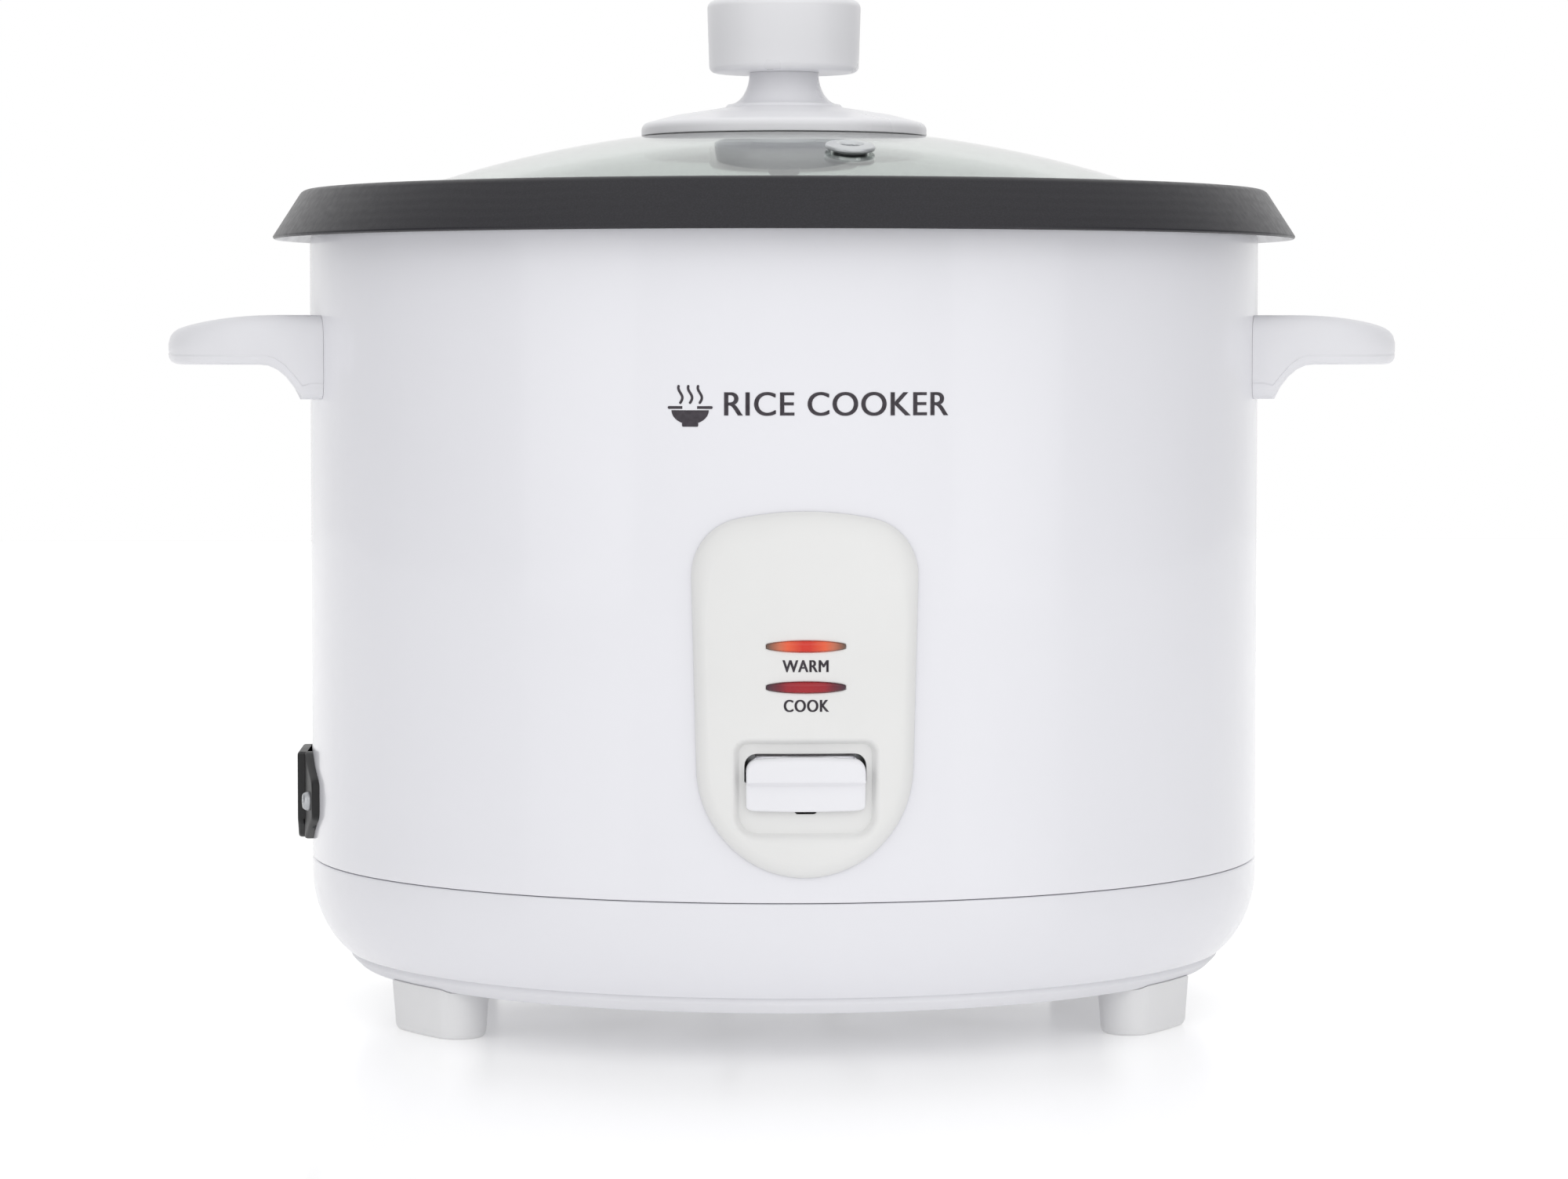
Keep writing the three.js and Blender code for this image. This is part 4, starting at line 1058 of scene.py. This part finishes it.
# ---------------------------------------------------------------- legends
def printed(name, mesh, x, z, radius):
    """Wraps a flat drawing, made in metres about its own origin, round the front at (x, z)."""
    for vertex in mesh.vertices:
        u, v, proud = vertex.co / MM
        angle = (u + x) / radius
        reach = radius + 0.04 + proud
        vertex.co = Vector((reach * math.sin(angle), -reach * math.cos(angle), v + z)) * MM
    mesh.materials.clear()
    mesh.materials.append(INK)
    piece = bpy.data.objects.new(name, mesh)
    bpy.context.scene.collection.objects.link(piece)
    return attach(piece, "housing")


def legend(name, words, x, z, size, narrow, weight, spacing, radius):
    """Printed lettering on the front, centred on (x, z). narrow squeezes it across, and weight is how
    far its strokes are widened to each side."""
    text = bpy.data.curves.new(name, "FONT")
    text.body = words
    text.align_x = "CENTER"
    text.align_y = "CENTER"
    text.space_character = spacing
    text.extrude = 0.04 / size
    flat = bpy.data.objects.new(name + "_flat", text)
    bpy.context.scene.collection.objects.link(flat)
    bpy.context.view_layer.update()
    mesh = bpy.data.meshes.new_from_object(flat.evaluated_get(bpy.context.evaluated_depsgraph_get()))
    bpy.data.objects.remove(flat)
    mesh.transform(Matrix.Diagonal((size * narrow * MM, size * MM, size * MM, 1)))
    bold = bmesh.new()
    for step in (-1, 0, 1):
        shifted = mesh.copy()
        shifted.transform(Matrix.Translation((step * weight * MM, 0, 0)))
        bold.from_mesh(shifted)
        bpy.data.meshes.remove(shifted)
    bold.to_mesh(mesh)
    bold.free()
    return printed(name, mesh, x, z, radius)


def stroke(middle, width):
    """A closed outline along a line of points, with round ends."""
    middle = [Vector(point) for point in middle]
    left, right = [], []
    for k, point in enumerate(middle):
        ahead = (middle[min(k + 1, len(middle) - 1)] - middle[max(k - 1, 0)]).normalized()
        side = Vector((-ahead.y, ahead.x)) * width / 2
        left.append(point + side)
        right.append(point - side)
    first = math.atan2((left[0] - middle[0]).y, (left[0] - middle[0]).x)
    last = math.atan2((right[-1] - middle[-1]).y, (right[-1] - middle[-1]).x)
    turns = [math.pi * k / 6 for k in range(1, 6)]

    def cap(centre, start):
        return [centre + Vector((math.cos(start + a), math.sin(start + a))) * width / 2 for a in turns]

    outline = [*right, *cap(middle[-1], last), *left[::-1], *cap(middle[0], first)]
    return [(point.x, point.y) for point in outline]


def bowl_sign(x, z, radius):
    """A plain printed sign: a bowl of rice with three wisps of steam."""
    skin = Skin(lambda u, v, height: (u, v, height))
    bowl_arc = [math.pi + math.pi * k / 24 for k in range(25)]
    shapes = [[(4.6 * math.cos(a), -1 + 3.4 * math.sin(a)) for a in bowl_arc]]
    shapes.append(rounded([(-2, -5, 0.3), (2, -5, 0.3), (2, -4.1, 0.1), (-2, -4.1, 0.1)], True, 3))
    shapes.append(stroke([(-5.2, -0.35), (5.2, -0.35)], 0.7))
    for wisp in (-2.4, 0, 2.4):
        path = [(wisp + 0.5 * math.sin(t * 5.2), 0.8 + 4 * t) for t in np.linspace(0, 1, 15)]
        shapes.append(stroke(path, 0.62))
    for outline in shapes:
        low, high = skin.loop(outline, -0.04), skin.loop(outline, 0.04)
        skin.wall(low, high)
        skin.fill(low, [], -0.04, spacing=3)
        skin.fill(high, [], 0.04, spacing=3)
    flat = make("bowl_sign_flat", skin.points, skin.faces, INK)
    mesh = flat.data
    bpy.data.objects.remove(flat)
    return printed("bowl_sign", mesh, x, z, radius)


# ---------------------------------------------------------------- inlet and wiring
INLET_EAR_FACE = 127.9
INLET_SCREW_ANGLE = 10.5
INLET_BLOCK_HALF = 13.5
SOCKET_FLOOR = 112


def inlet():
    """The appliance inlet: a raised block with a socket, between ears that follow the drum."""
    skin = Skin(lambda u, v, height: (-height, u, v))
    slope = math.radians(INLET_SCREW_ANGLE)
    middle = INLET_BLOCK_HALF

    def seat(u, v):
        return math.sqrt((DRUM_R + SEAT_GAP) ** 2 - u * u)

    def ear(u, v):
        return (INLET_EAR_FACE - max(abs(u), middle) * math.sin(slope)) / math.cos(slope)

    def shape(half, low_z, high_z, corner, soft):
        return rounded([
            (-half, low_z + corner, soft), (corner - half, low_z, soft), (half - corner, low_z, soft),
            (half, low_z + corner, soft), (half, high_z, soft), (-half, high_z, soft)], True, 4)

    block = resampled(shape(middle, INLET_LOW, INLET_HIGH, 5, 1.2), 1)
    flange = resampled(rounded([
        (-middle, INLET_LOW, 2), (middle, INLET_LOW, 2), (INLET_HALF, INLET_LOW + 7, 2.5),
        (INLET_HALF, INLET_HIGH - 7, 2.5), (middle, INLET_HIGH, 2), (-middle, INLET_HIGH, 2),
        (-INLET_HALF, INLET_HIGH - 7, 2.5), (-INLET_HALF, INLET_LOW + 7, 2.5)], True), 1.2)
    face, edge = skin.roll(flange, ear, 0.7, 0.7, steps=4)
    heel = skin.loop(flange, seat)
    skin.wall(edge, heel)
    hole = inset(block, 1.0)
    upper, lower = skin.loop(hole, ear), skin.loop(hole, seat)
    skin.wall(upper, lower)
    skin.fill(face, [upper], ear, spacing=3)
    skin.fill(heel, [lower], seat, spacing=3)

    face, edge = skin.roll(block, INLET_FACE, 0.7, 0.7, steps=4)
    heel = skin.loop(block, seat)
    skin.wall(edge, heel)
    socket = resampled(shape(12, 48.3, 64.7, 4, 1), 1)
    collar = [skin.loop(inset(socket, shrink), INLET_FACE + lift)
              for shrink, lift in ((-0.4, 0), (-0.15, -0.12), (0, -0.5))]
    floor = skin.loop(socket, SOCKET_FLOOR)
    skin.walls([*collar, floor])
    shroud = resampled(shape(middle - 0.5, 46.7, 66.3, 4, 1.2), 1)
    root, end = skin.loop(shroud, seat), skin.loop(shroud, SOCKET_FLOOR - 2.9)
    skin.wall(root, end)
    skin.fill(face, [collar[0]], INLET_FACE, spacing=3)
    skin.fill(floor, [], SOCKET_FLOOR, spacing=4)
    skin.fill(heel, [root], seat, spacing=3)
    skin.fill(end, [], SOCKET_FLOOR - 2.9, spacing=4)
    piece = make("inlet_moulding", skin.points, skin.faces, BLACK_PLASTIC)
    stands_for(piece, "housing", "inlet_plastic", "inlet_housing")
    for k, side in enumerate((-1, 1)):
        outwards = Vector((-math.cos(slope), side * math.sin(slope), 0))
        spot = outwards * (INLET_EAR_FACE + SEAT_GAP) + Vector((0, 0, INLET_Z))
        screw(f"inlet_screw_{k + 1}", "housing", "screw_steel", spot, outwards, 2.5, 1.7, 1.7, 8)
    for name in ("line", "earth", "neutral"):
        pin("inlet_pin_" + name)


def pin(node):
    """A flat brass blade with a rounded nose, set along X."""
    lower, upper = low(node), high(node)
    skin = Skin(lambda u, v, height: (height, u, v))
    blade = rounded([(lower.y, lower.z, 0.9), (upper.y, lower.z, 0.9), (upper.y, upper.z, 0.9),
                     (lower.y, upper.z, 0.9)], True, 5)
    rings = [skin.loop(inset(blade, shrink), lower.x + ahead)
             for shrink, ahead in ((0.6, 0), (0.3, 0.25), (0.1, 0.7), (0, 1.3))]
    rings.append(skin.loop(blade, upper.x))
    skin.walls(rings)
    skin.fill(rings[0], [], lower.x, spacing=3)
    skin.fill(rings[-1], [], upper.x, spacing=3)
    piece = make(node + "_blade", skin.points, skin.faces, BRASS)
    stands_for(piece, "housing", "brass", node)


def smooth_path(points, steps=10):
    """A smooth line through given points."""
    points = [Vector(point) for point in points]
    ends = [2 * points[0] - points[1], *points, 2 * points[-1] - points[-2]]
    path = [points[0]]
    for before, a, b, after in zip(ends, ends[1:], ends[2:], ends[3:]):
        for k in range(1, steps + 1):
            t = k / steps
            path.append(0.5 * (2 * a + (b - before) * t
                               + (2 * before - 5 * a + 4 * b - after) * t * t
                               + (3 * a - before - 3 * b + after) * t ** 3))
    return path


def wires():
    """Sleeved wires from the inlet to the fuse and to the heater bracket."""
    routes = {
        "line_wire": [(-97.4, -7, 58.5), (-90, -14, 52), (-78, -36, 38), (-56, -56, 36),
                      (-34, -62, 39), (-27.6, -60, 48.4)],
        "neutral_wire": [(-97.4, 7, 58.5), (-90, 14, 52), (-74, 26, 36), (-30, 36, 30),
                         (20, 36, 34), (44, 28, 50), (49, 19, 60), (49, 14.6, 62.3)],
    }
    for name, route in routes.items():
        piece = tube(name + "_sleeve", smooth_path(route), 1.3, SLEEVE)
        stands_for(piece, "housing", "wire_sleeve", name)


# ---------------------------------------------------------------- heating and thermostat
PLATE_LOW = low("heating_plate").z
PLATE_HIGH = high("heating_plate").z
PLATE_R = 92


def heating_plate():
    """The cast plate, with shallow turned steps in its face and three lugs."""
    hole = 18.0
    profile = rounded([
        (hole, PLATE_LOW, 0.5), (PLATE_R - 3, PLATE_LOW, 1.5), (PLATE_R, PLATE_LOW + 3, 1.5),
        (PLATE_R, PLATE_HIGH - 2, 0.6), (PLATE_R - 1.6, PLATE_HIGH, 1.2), (64, PLATE_HIGH, 0.3),
        (63.4, PLATE_HIGH - 0.5, 0.3), (61, PLATE_HIGH - 0.5, 0.3), (60.4, PLATE_HIGH, 0.3),
        (hole, PLATE_HIGH, 1.0),
    ], closed=True)
    points, faces, _ = turned(profile)
    for angle in (90, 210, 330):
        turn = math.radians(angle)
        skin = Skin(lambda u, v, height: (u * math.cos(turn) - v * math.sin(turn),
                                          u * math.sin(turn) + v * math.cos(turn), height))
        lug = resampled(rounded([(86, -8, 0.1), (107, -8, 6), (107, 8, 6), (86, 8, 0.1)], True), 2)
        top, upper = skin.roll(lug, 71.7, 0.6, 0.6, steps=3)
        under, lower = skin.roll(lug, PLATE_LOW + 1, -0.6, 0.6, steps=3)
        skin.wall(upper, lower)
        bore = [skin.loop(circle(101, 0, 2.2), z) for z in (71.7, PLATE_LOW + 1)]
        skin.walls(bore)
        skin.fill(top, [bore[0]], 71.7, spacing=3)
        skin.fill(under, [bore[1]], PLATE_LOW + 1, spacing=3)
        start = len(points)
        points += skin.points
        faces += [tuple(start + k for k in face) for face in skin.faces]
        spot = (101 * math.cos(turn), 101 * math.sin(turn), PLATE_LOW + 1 - GAP)
        screw(f"plate_screw_{(angle + 30) // 120}", "housing", "screw_steel", spot, (0, 0, -1),
              3.8, 2.2, 1.8, 8)
    piece = make("cast_heating_plate", points, faces, PLATE_METAL)
    return stands_for(piece, "housing", "cast_aluminium", "heating_plate")


def heating_element():
    """A horseshoe of sheathed element under the plate, with both ends turned down."""
    radius, thick = 65, 3.3
    z = high("heating_element").z - thick
    first, last = math.radians(-64), math.radians(244)
    arc = [first + (last - first) * k / 72 for k in range(73)]
    path = [Vector((radius * math.cos(a), radius * math.sin(a), z)) for a in arc]

    def drop(point):
        return [Vector((point.x * x, point.y * y, z - fall))
                for x, y, fall in ((0.985, 1.01, 1.2), (0.96, 1.018, 4.5), (0.93, 1.02, 11))]

    path = [*drop(path[0])[::-1], *path[2:-2], *drop(path[-1])]
    piece = tube("sheathed_element", path, thick, DARK_STEEL, sides=24)
    return stands_for(piece, "housing", "element_steel", "heating_element")


def sensor():
    """The sprung sensor cap in the middle of the plate, with the ferrite fixed inside it."""
    radius = high("sensor_cap").x
    top, bottom = high("sensor_cap").z, low("sensor_cap").z
    cap = rounded([
        (0, top, 0), (radius, top, 1.3), (radius, bottom, 0.4), (radius - SHEET, bottom, 0.4),
        (radius - SHEET, top - SHEET, 0.6), (0, top - SHEET, 0),
    ])
    piece = lathe("thermostat_cap", cap, POT_METAL)
    stands_for(piece, "sensor", "sensor_aluminium", "sensor_cap")
    for node, body in (("ferrite_disc", "sensor"), ("magnet_disc", "magnet")):
        lower, upper = low(node), high(node)
        r = upper.x
        profile = rounded([(0, lower.z, 0), (r, lower.z, 0.6), (r, upper.z, 0.6), (0, upper.z, 0)])
        stands_for(lathe(node + "_fine", profile, FERRITE), body, "ferrite", node)
    lower, upper = low("magnet_holder").z, high("magnet_holder").z
    profile = rounded([
        (0, lower, 0), (2.5, lower, 0.5), (2.5, upper - 1.3, 0.6), (14, upper - 1.3, 0.4),
        (14, upper, 0.4), (0, upper, 0)])
    stands_for(lathe("magnet_carrier", profile, ZINC), "magnet", "zinc_steel", "magnet_holder")


SENSOR_TRAVEL = 1.0


def spring(node, radius, wire, turns, room=0.0):
    """A coil spring with closed ends; room is left free above it."""
    bottom, top = low(node).z + wire, high(node).z - wire - room
    path = []
    steps = 36 * (turns + 1)
    for k in range(steps + 1):
        angle = 2 * math.pi * (turns + 1) * k / steps
        rise = min(max((k / steps * (turns + 1) - 0.5) / turns, 0), 1)
        z = bottom + (top - bottom) * rise
        path.append((radius * math.cos(angle), radius * math.sin(angle), z))
    piece = tube(node + "_coil", path, wire, ZINC, sides=12)
    stands_for(piece, "housing", "spring_steel", node)
    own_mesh(piece)


# ---------------------------------------------------------------- pot
def pot():
    """The pot: bare spun metal outside, charcoal coating inside and over its flared rim."""
    wall = 1.6
    inside = POT_R - wall
    floor = POT_LOW + wall
    outer = rounded([
        (0, POT_LOW, 0), (POT_R, POT_LOW, 13.5), (POT_R, SEAT_Z - 1.7, 1.4),
        (121.2, SEAT_Z - 1.7, 1.4), (RIM_R - 9.36, RIM_TOP - 0.54, 1.4), (RIM_R - 1.5, 204, 0.3),
        (RIM_R - 0.4, 204, 0),
    ], steps=8)
    inner = rounded([
        (RIM_R, 204.4, 0), (RIM_R, 204.8, 0.2), (RIM_R - 9.35, RIM_TOP + 2.37, 2.46),
        (120.6, SEAT_Z, 1.6), (inside, SEAT_Z, 1.4), (inside, floor, 12.0), (0, floor, 0),
    ], steps=8)
    piece = lathe("cooking_pot", outer + inner, POT_METAL, COATING,
                  pick=lambda row: 0 if row < len(outer) - 1 else 1)
    return stands_for(piece, "pot", "pot_nonstick", "inner_pot")


# ---------------------------------------------------------------- lid
VENT = {"radius": 72, "azimuth": -79}


def dome(radius, thickness=0):
    sphere = DOME_R - thickness
    return GLASS_TOP - DOME_R + math.sqrt(sphere ** 2 - radius ** 2)


def on_dome():
    """The place of the vent on the dome, with its axis along the dome's normal."""
    tilt = math.asin(VENT["radius"] / DOME_R)
    turn = Matrix.Rotation(math.radians(VENT["azimuth"]), 4, "Z")
    place = Matrix.Translation((VENT["radius"] * MM, 0, dome(VENT["radius"]) * MM))
    return turn @ place @ Matrix.Rotation(tilt, 4, "Y")


def lid_glass():
    """A dome of tempered glass with a flat, rounded edge."""
    bottom = low("lid_glass").z
    radii = [3 + (107.4 - 3) * k / 22 for k in range(23)]
    top = [(r, dome(r), 0) for r in radii[:-1]] + [(107.4, dome(107.4), 4)]
    under = [(r, dome(r, GLASS), 0) for r in radii[:-1]] + [(106.8, bottom, 4)]
    profile = rounded([*top, (GLASS_R, bottom + GLASS, 1.9), (GLASS_R, bottom, 1.9), *under[::-1]],
                      closed=True)
    piece = lathe("glass_dome", profile, GLASS_CLEAR)
    cutter = lathe("vent_cutter", [(0, -15), (4.8, -15), (4.8, 10), (0, 10)], GLASS_CLEAR,
                   angles=even_angles(48))
    cutter.data.transform(on_dome())
    carve(piece, cutter)
    piece.data.shade_smooth()
    piece.data.set_sharp_from_angle(angle=math.radians(32))
    return stands_for(piece, "lid", "lid_glass", "lid_glass")


def rim_band():
    """The rolled steel band round the glass."""
    lower, upper = SEAT_Z + GAP, high("lid_rim_band").z
    outer = high("lid_rim_band").x
    edge = low("lid_glass").z
    profile = rounded([
        (114.5, lower, 0.25), (outer, lower, 1.0), (outer, upper, 1.4), (114.5, upper, 0.3),
        (114.5, upper - 0.7, 0.3), (GLASS_R + GAP, upper - 0.7, 0.8), (GLASS_R + GAP, edge - GAP, 0.5),
        (114.5, edge - GAP, 0.25),
    ], closed=True)
    return stands_for(lathe("steel_band", profile, RIM_STEEL), "lid", "rim_steel", "lid_rim_band")


def vent():
    """The steel eyelet of the steam vent."""
    profile = rounded([
        (2.6, -5.4, 0.3), (6.4, -5.4, 0.4), (6.4, -4.6, 0.3), (4.4, -4.4, 0.4), (4.4, 0.4, 0.4),
        (6.4, 0.5, 0.3), (6.3, 1.6, 0.6), (3.4, 1.9, 0.6), (2.6, 1.2, 0.4),
    ], closed=True)
    piece = lathe("vent_eyelet", profile, EYELET_STEEL, angles=even_angles(64))
    piece.data.transform(on_dome())
    return stands_for(piece, "lid", "rim_steel", "vent_grommet")


def knob():
    """The knob: a flared base on the glass, a waist, and a cap that covers it."""
    neck_top = KNOB_LOW - SEAT_GAP
    flare_radius, flare_low, flare_width = 15, 240, 5.8
    flare = []
    for k in range(9):
        turn = math.pi / 2 * k / 8
        rise = (neck_top - flare_low) * (1 - math.cos(turn))
        flare.append((flare_radius - flare_width * math.sin(turn), flare_low + rise, 0))
    base = rounded([
        (2.4, dome(0) + 0.1, 0.2), (20, dome(20) + 0.08, 0), (38, dome(38) + 0.06, 0.3),
        (38, 234.8, 2.2), (29, 237.1, 14), (15.8, 239.2, 1.2), *flare, (2.4, neck_top, 0.3),
    ], closed=True)
    piece = lathe("knob_foot", base, KNOB_PLASTIC, angles=even_angles(128))
    stands_for(piece, "lid", "knob_plastic", "knob_base")
    cap = rounded([
        (0, 260, 0), (2.4, 260, 0.3), (2.4, KNOB_LOW, 0.2), (KNOB_R - 0.6, KNOB_LOW, 1.8),
        (KNOB_R, KNOB_TOP, 2.2), (15.5, KNOB_TOP, 2), (12.5, KNOB_TOP - 0.5, 4), (0, KNOB_TOP - 0.5, 0),
    ])
    piece = lathe("knob_grip", cap, KNOB_PLASTIC, angles=even_angles(128))
    stands_for(piece, "lid", "knob_plastic", "knob_cap")
    bottom = low("knob_washer").z
    washer = rounded([
        (2.4, bottom, 0.2), (20, bottom, 1.4), (20, dome(20, GLASS) - GAP, 0.2),
        (2.4, dome(2.4, GLASS) - GAP, 0.2),
    ], closed=True)
    piece = lathe("seal_washer", washer, SEAL, angles=even_angles(96))
    stands_for(piece, "lid", "washer_rubber", "knob_washer")
    screw("knob_screw", "lid", "screw_steel", (0, 0, bottom - GAP), (0, 0, -1), 4.5, 2.2, 2, 35)


# ---------------------------------------------------------------- CAD nodes that stay
def dress_cad_nodes():
    """Gives the pressed and moulded nodes that stay their finish, and breaks their edges."""
    finishes = {
        "lamp_holder": CERAMIC, "warm_lamp": LAMP_GLASS, "cook_lamp": LAMP_GLASS,
        "keep_warm_heater": MICA, "thermal_fuse": SLEEVE, "sensor_bracket": ZINC,
        "switch_bracket": ZINC, "pivot_pin": ZINC, "microswitch_body": BLACK_PLASTIC,
        "microswitch_plunger": CERAMIC, "switch_lever": ZINC,
    }
    for name, material in finishes.items():
        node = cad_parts[name]
        for slot in node.material_slots:
            slot.material = material
        bevel = node.modifiers.new("broken_edges", "BEVEL")
        bevel.width = 0.25 * MM
        bevel.segments = 2
        bevel.limit_method = "ANGLE"
        bevel.angle_limit = math.radians(40)
        bevel.harden_normals = False


# ---------------------------------------------------------------- studio
CAMERA_AWAY = 1280
CAMERA_HEIGHT = 176.4
CAMERA_TURN = 2.36
CAMERA_PITCH = 2.94


def camera():
    """Level with the lower part of the handles, looking slightly down, as in a catalogue picture."""
    turn = math.radians(CAMERA_TURN)
    data = bpy.data.cameras.new("camera")
    data.sensor_width = 36
    data.lens = 109.8
    data.clip_end = 100
    eye = bpy.data.objects.new("camera", data)
    place = (-CAMERA_AWAY * math.sin(turn), -CAMERA_AWAY * math.cos(turn), CAMERA_HEIGHT)
    eye.location = Vector(place) * MM
    eye.rotation_euler = (math.radians(90 - CAMERA_PITCH), 0, -turn)
    bpy.context.scene.collection.objects.link(eye)
    bpy.context.scene.camera = eye


def floor():
    """A wide white table."""
    size = 3
    mesh = bpy.data.meshes.new("studio_floor")
    mesh.from_pydata([(-size, -size, 0), (size, -size, 0), (size, size, 0), (-size, size, 0)],
                     [], [(0, 1, 2, 3)])
    mesh.materials.append(studio_floor())
    sheet = bpy.data.objects.new("studio_floor", mesh)
    bpy.context.scene.collection.objects.link(sheet)


SKY_LEVEL = 1.0
SIDE_LEVEL = 0.26


def sky():
    """White surroundings that are dimmer to the left and right, so that the drum's sides darken."""
    world = bpy.data.worlds.new("studio")
    bpy.context.scene.world = world
    world.use_nodes = True
    tree = world.node_tree
    background = tree.nodes["Background"]
    place = tree.nodes.new("ShaderNodeTexCoord")
    split = tree.nodes.new("ShaderNodeSeparateXYZ")
    square = tree.nodes.new("ShaderNodeMath")
    square.operation = "MULTIPLY"
    ramp = tree.nodes.new("ShaderNodeValToRGB")
    stops = ramp.color_ramp.elements
    stops[0].color = (SKY_LEVEL, SKY_LEVEL, SKY_LEVEL, 1)
    stops[1].color = (SIDE_LEVEL, SIDE_LEVEL, SIDE_LEVEL * 1.02, 1)
    stops[0].position = 0.2
    stops[1].position = 0.84
    tree.links.new(place.outputs["Generated"], split.inputs["Vector"])
    tree.links.new(split.outputs["X"], square.inputs[0])
    tree.links.new(split.outputs["X"], square.inputs[1])
    tree.links.new(square.outputs["Value"], ramp.inputs["Fac"])
    tree.links.new(ramp.outputs["Color"], background.inputs["Color"])
    background.inputs["Strength"].default_value = 1.0



def softbox(name, place, target, size, watts):
    data = bpy.data.lights.new(name, "AREA")
    data.shape = "RECTANGLE"
    data.size, data.size_y = size
    data.energy = watts
    lamp = bpy.data.objects.new(name, data)
    lamp.location = place
    lamp.rotation_euler = (Vector(target) - Vector(place)).to_track_quat("-Z", "Y").to_euler()
    bpy.context.scene.collection.objects.link(lamp)


def studio():
    camera()
    floor()
    sky()
    softbox("front_softbox", (0.25, -1.9, 1.1), (0, 0, 0.12), (1.2, 1.0), 2.0)
    for side, name in ((-1, "left_softbox"), (1, "right_softbox")):
        softbox(name, (side * 1.15, -0.96, 0.6), (0, 0, 0.12), (0.8, 1.2), 2.1)
    bpy.context.scene.view_settings.view_transform = "Standard"


studio()
drum()
liner()
bowl()
cover()
FEET = {"front_right": -32, "front_left": -148, "rear_left": 148, "rear_right": 32}
for corner, angle in FEET.items():
    foot(corner, angle)
handle("right", 1)
handle("left", -1)
control_panel()
lens("warm_lens", WARM_Z, WARM_LENS)
lens("cook_lens", COOK_Z, COOK_LENS)
switch_cap()
legend("warm_legend", "WARM", 0, 98.6, 4.2, 0.82, 0.12, 1.1, PANEL_FACE)
legend("cook_legend", "COOK", 0, 89.0, 4.2, 0.82, 0.12, 1.1, PANEL_FACE)
legend("front_legend", "RICE COOKER", 7.5, 161.6, 8.2, 1, 0.12, 1.06, DRUM_R)
bowl_sign(-28, 161.4, DRUM_R)
inlet()
wires()
heating_plate()
heating_element()
sensor()
spring("release_spring", 12.5, 0.5, 4, room=SENSOR_TRAVEL)
spring("sensor_spring", 15.7, 0.6, 2)
pot()
lid_glass()
rim_band()
vent()
knob()
dress_cad_nodes()

bpy.context.view_layer.update()
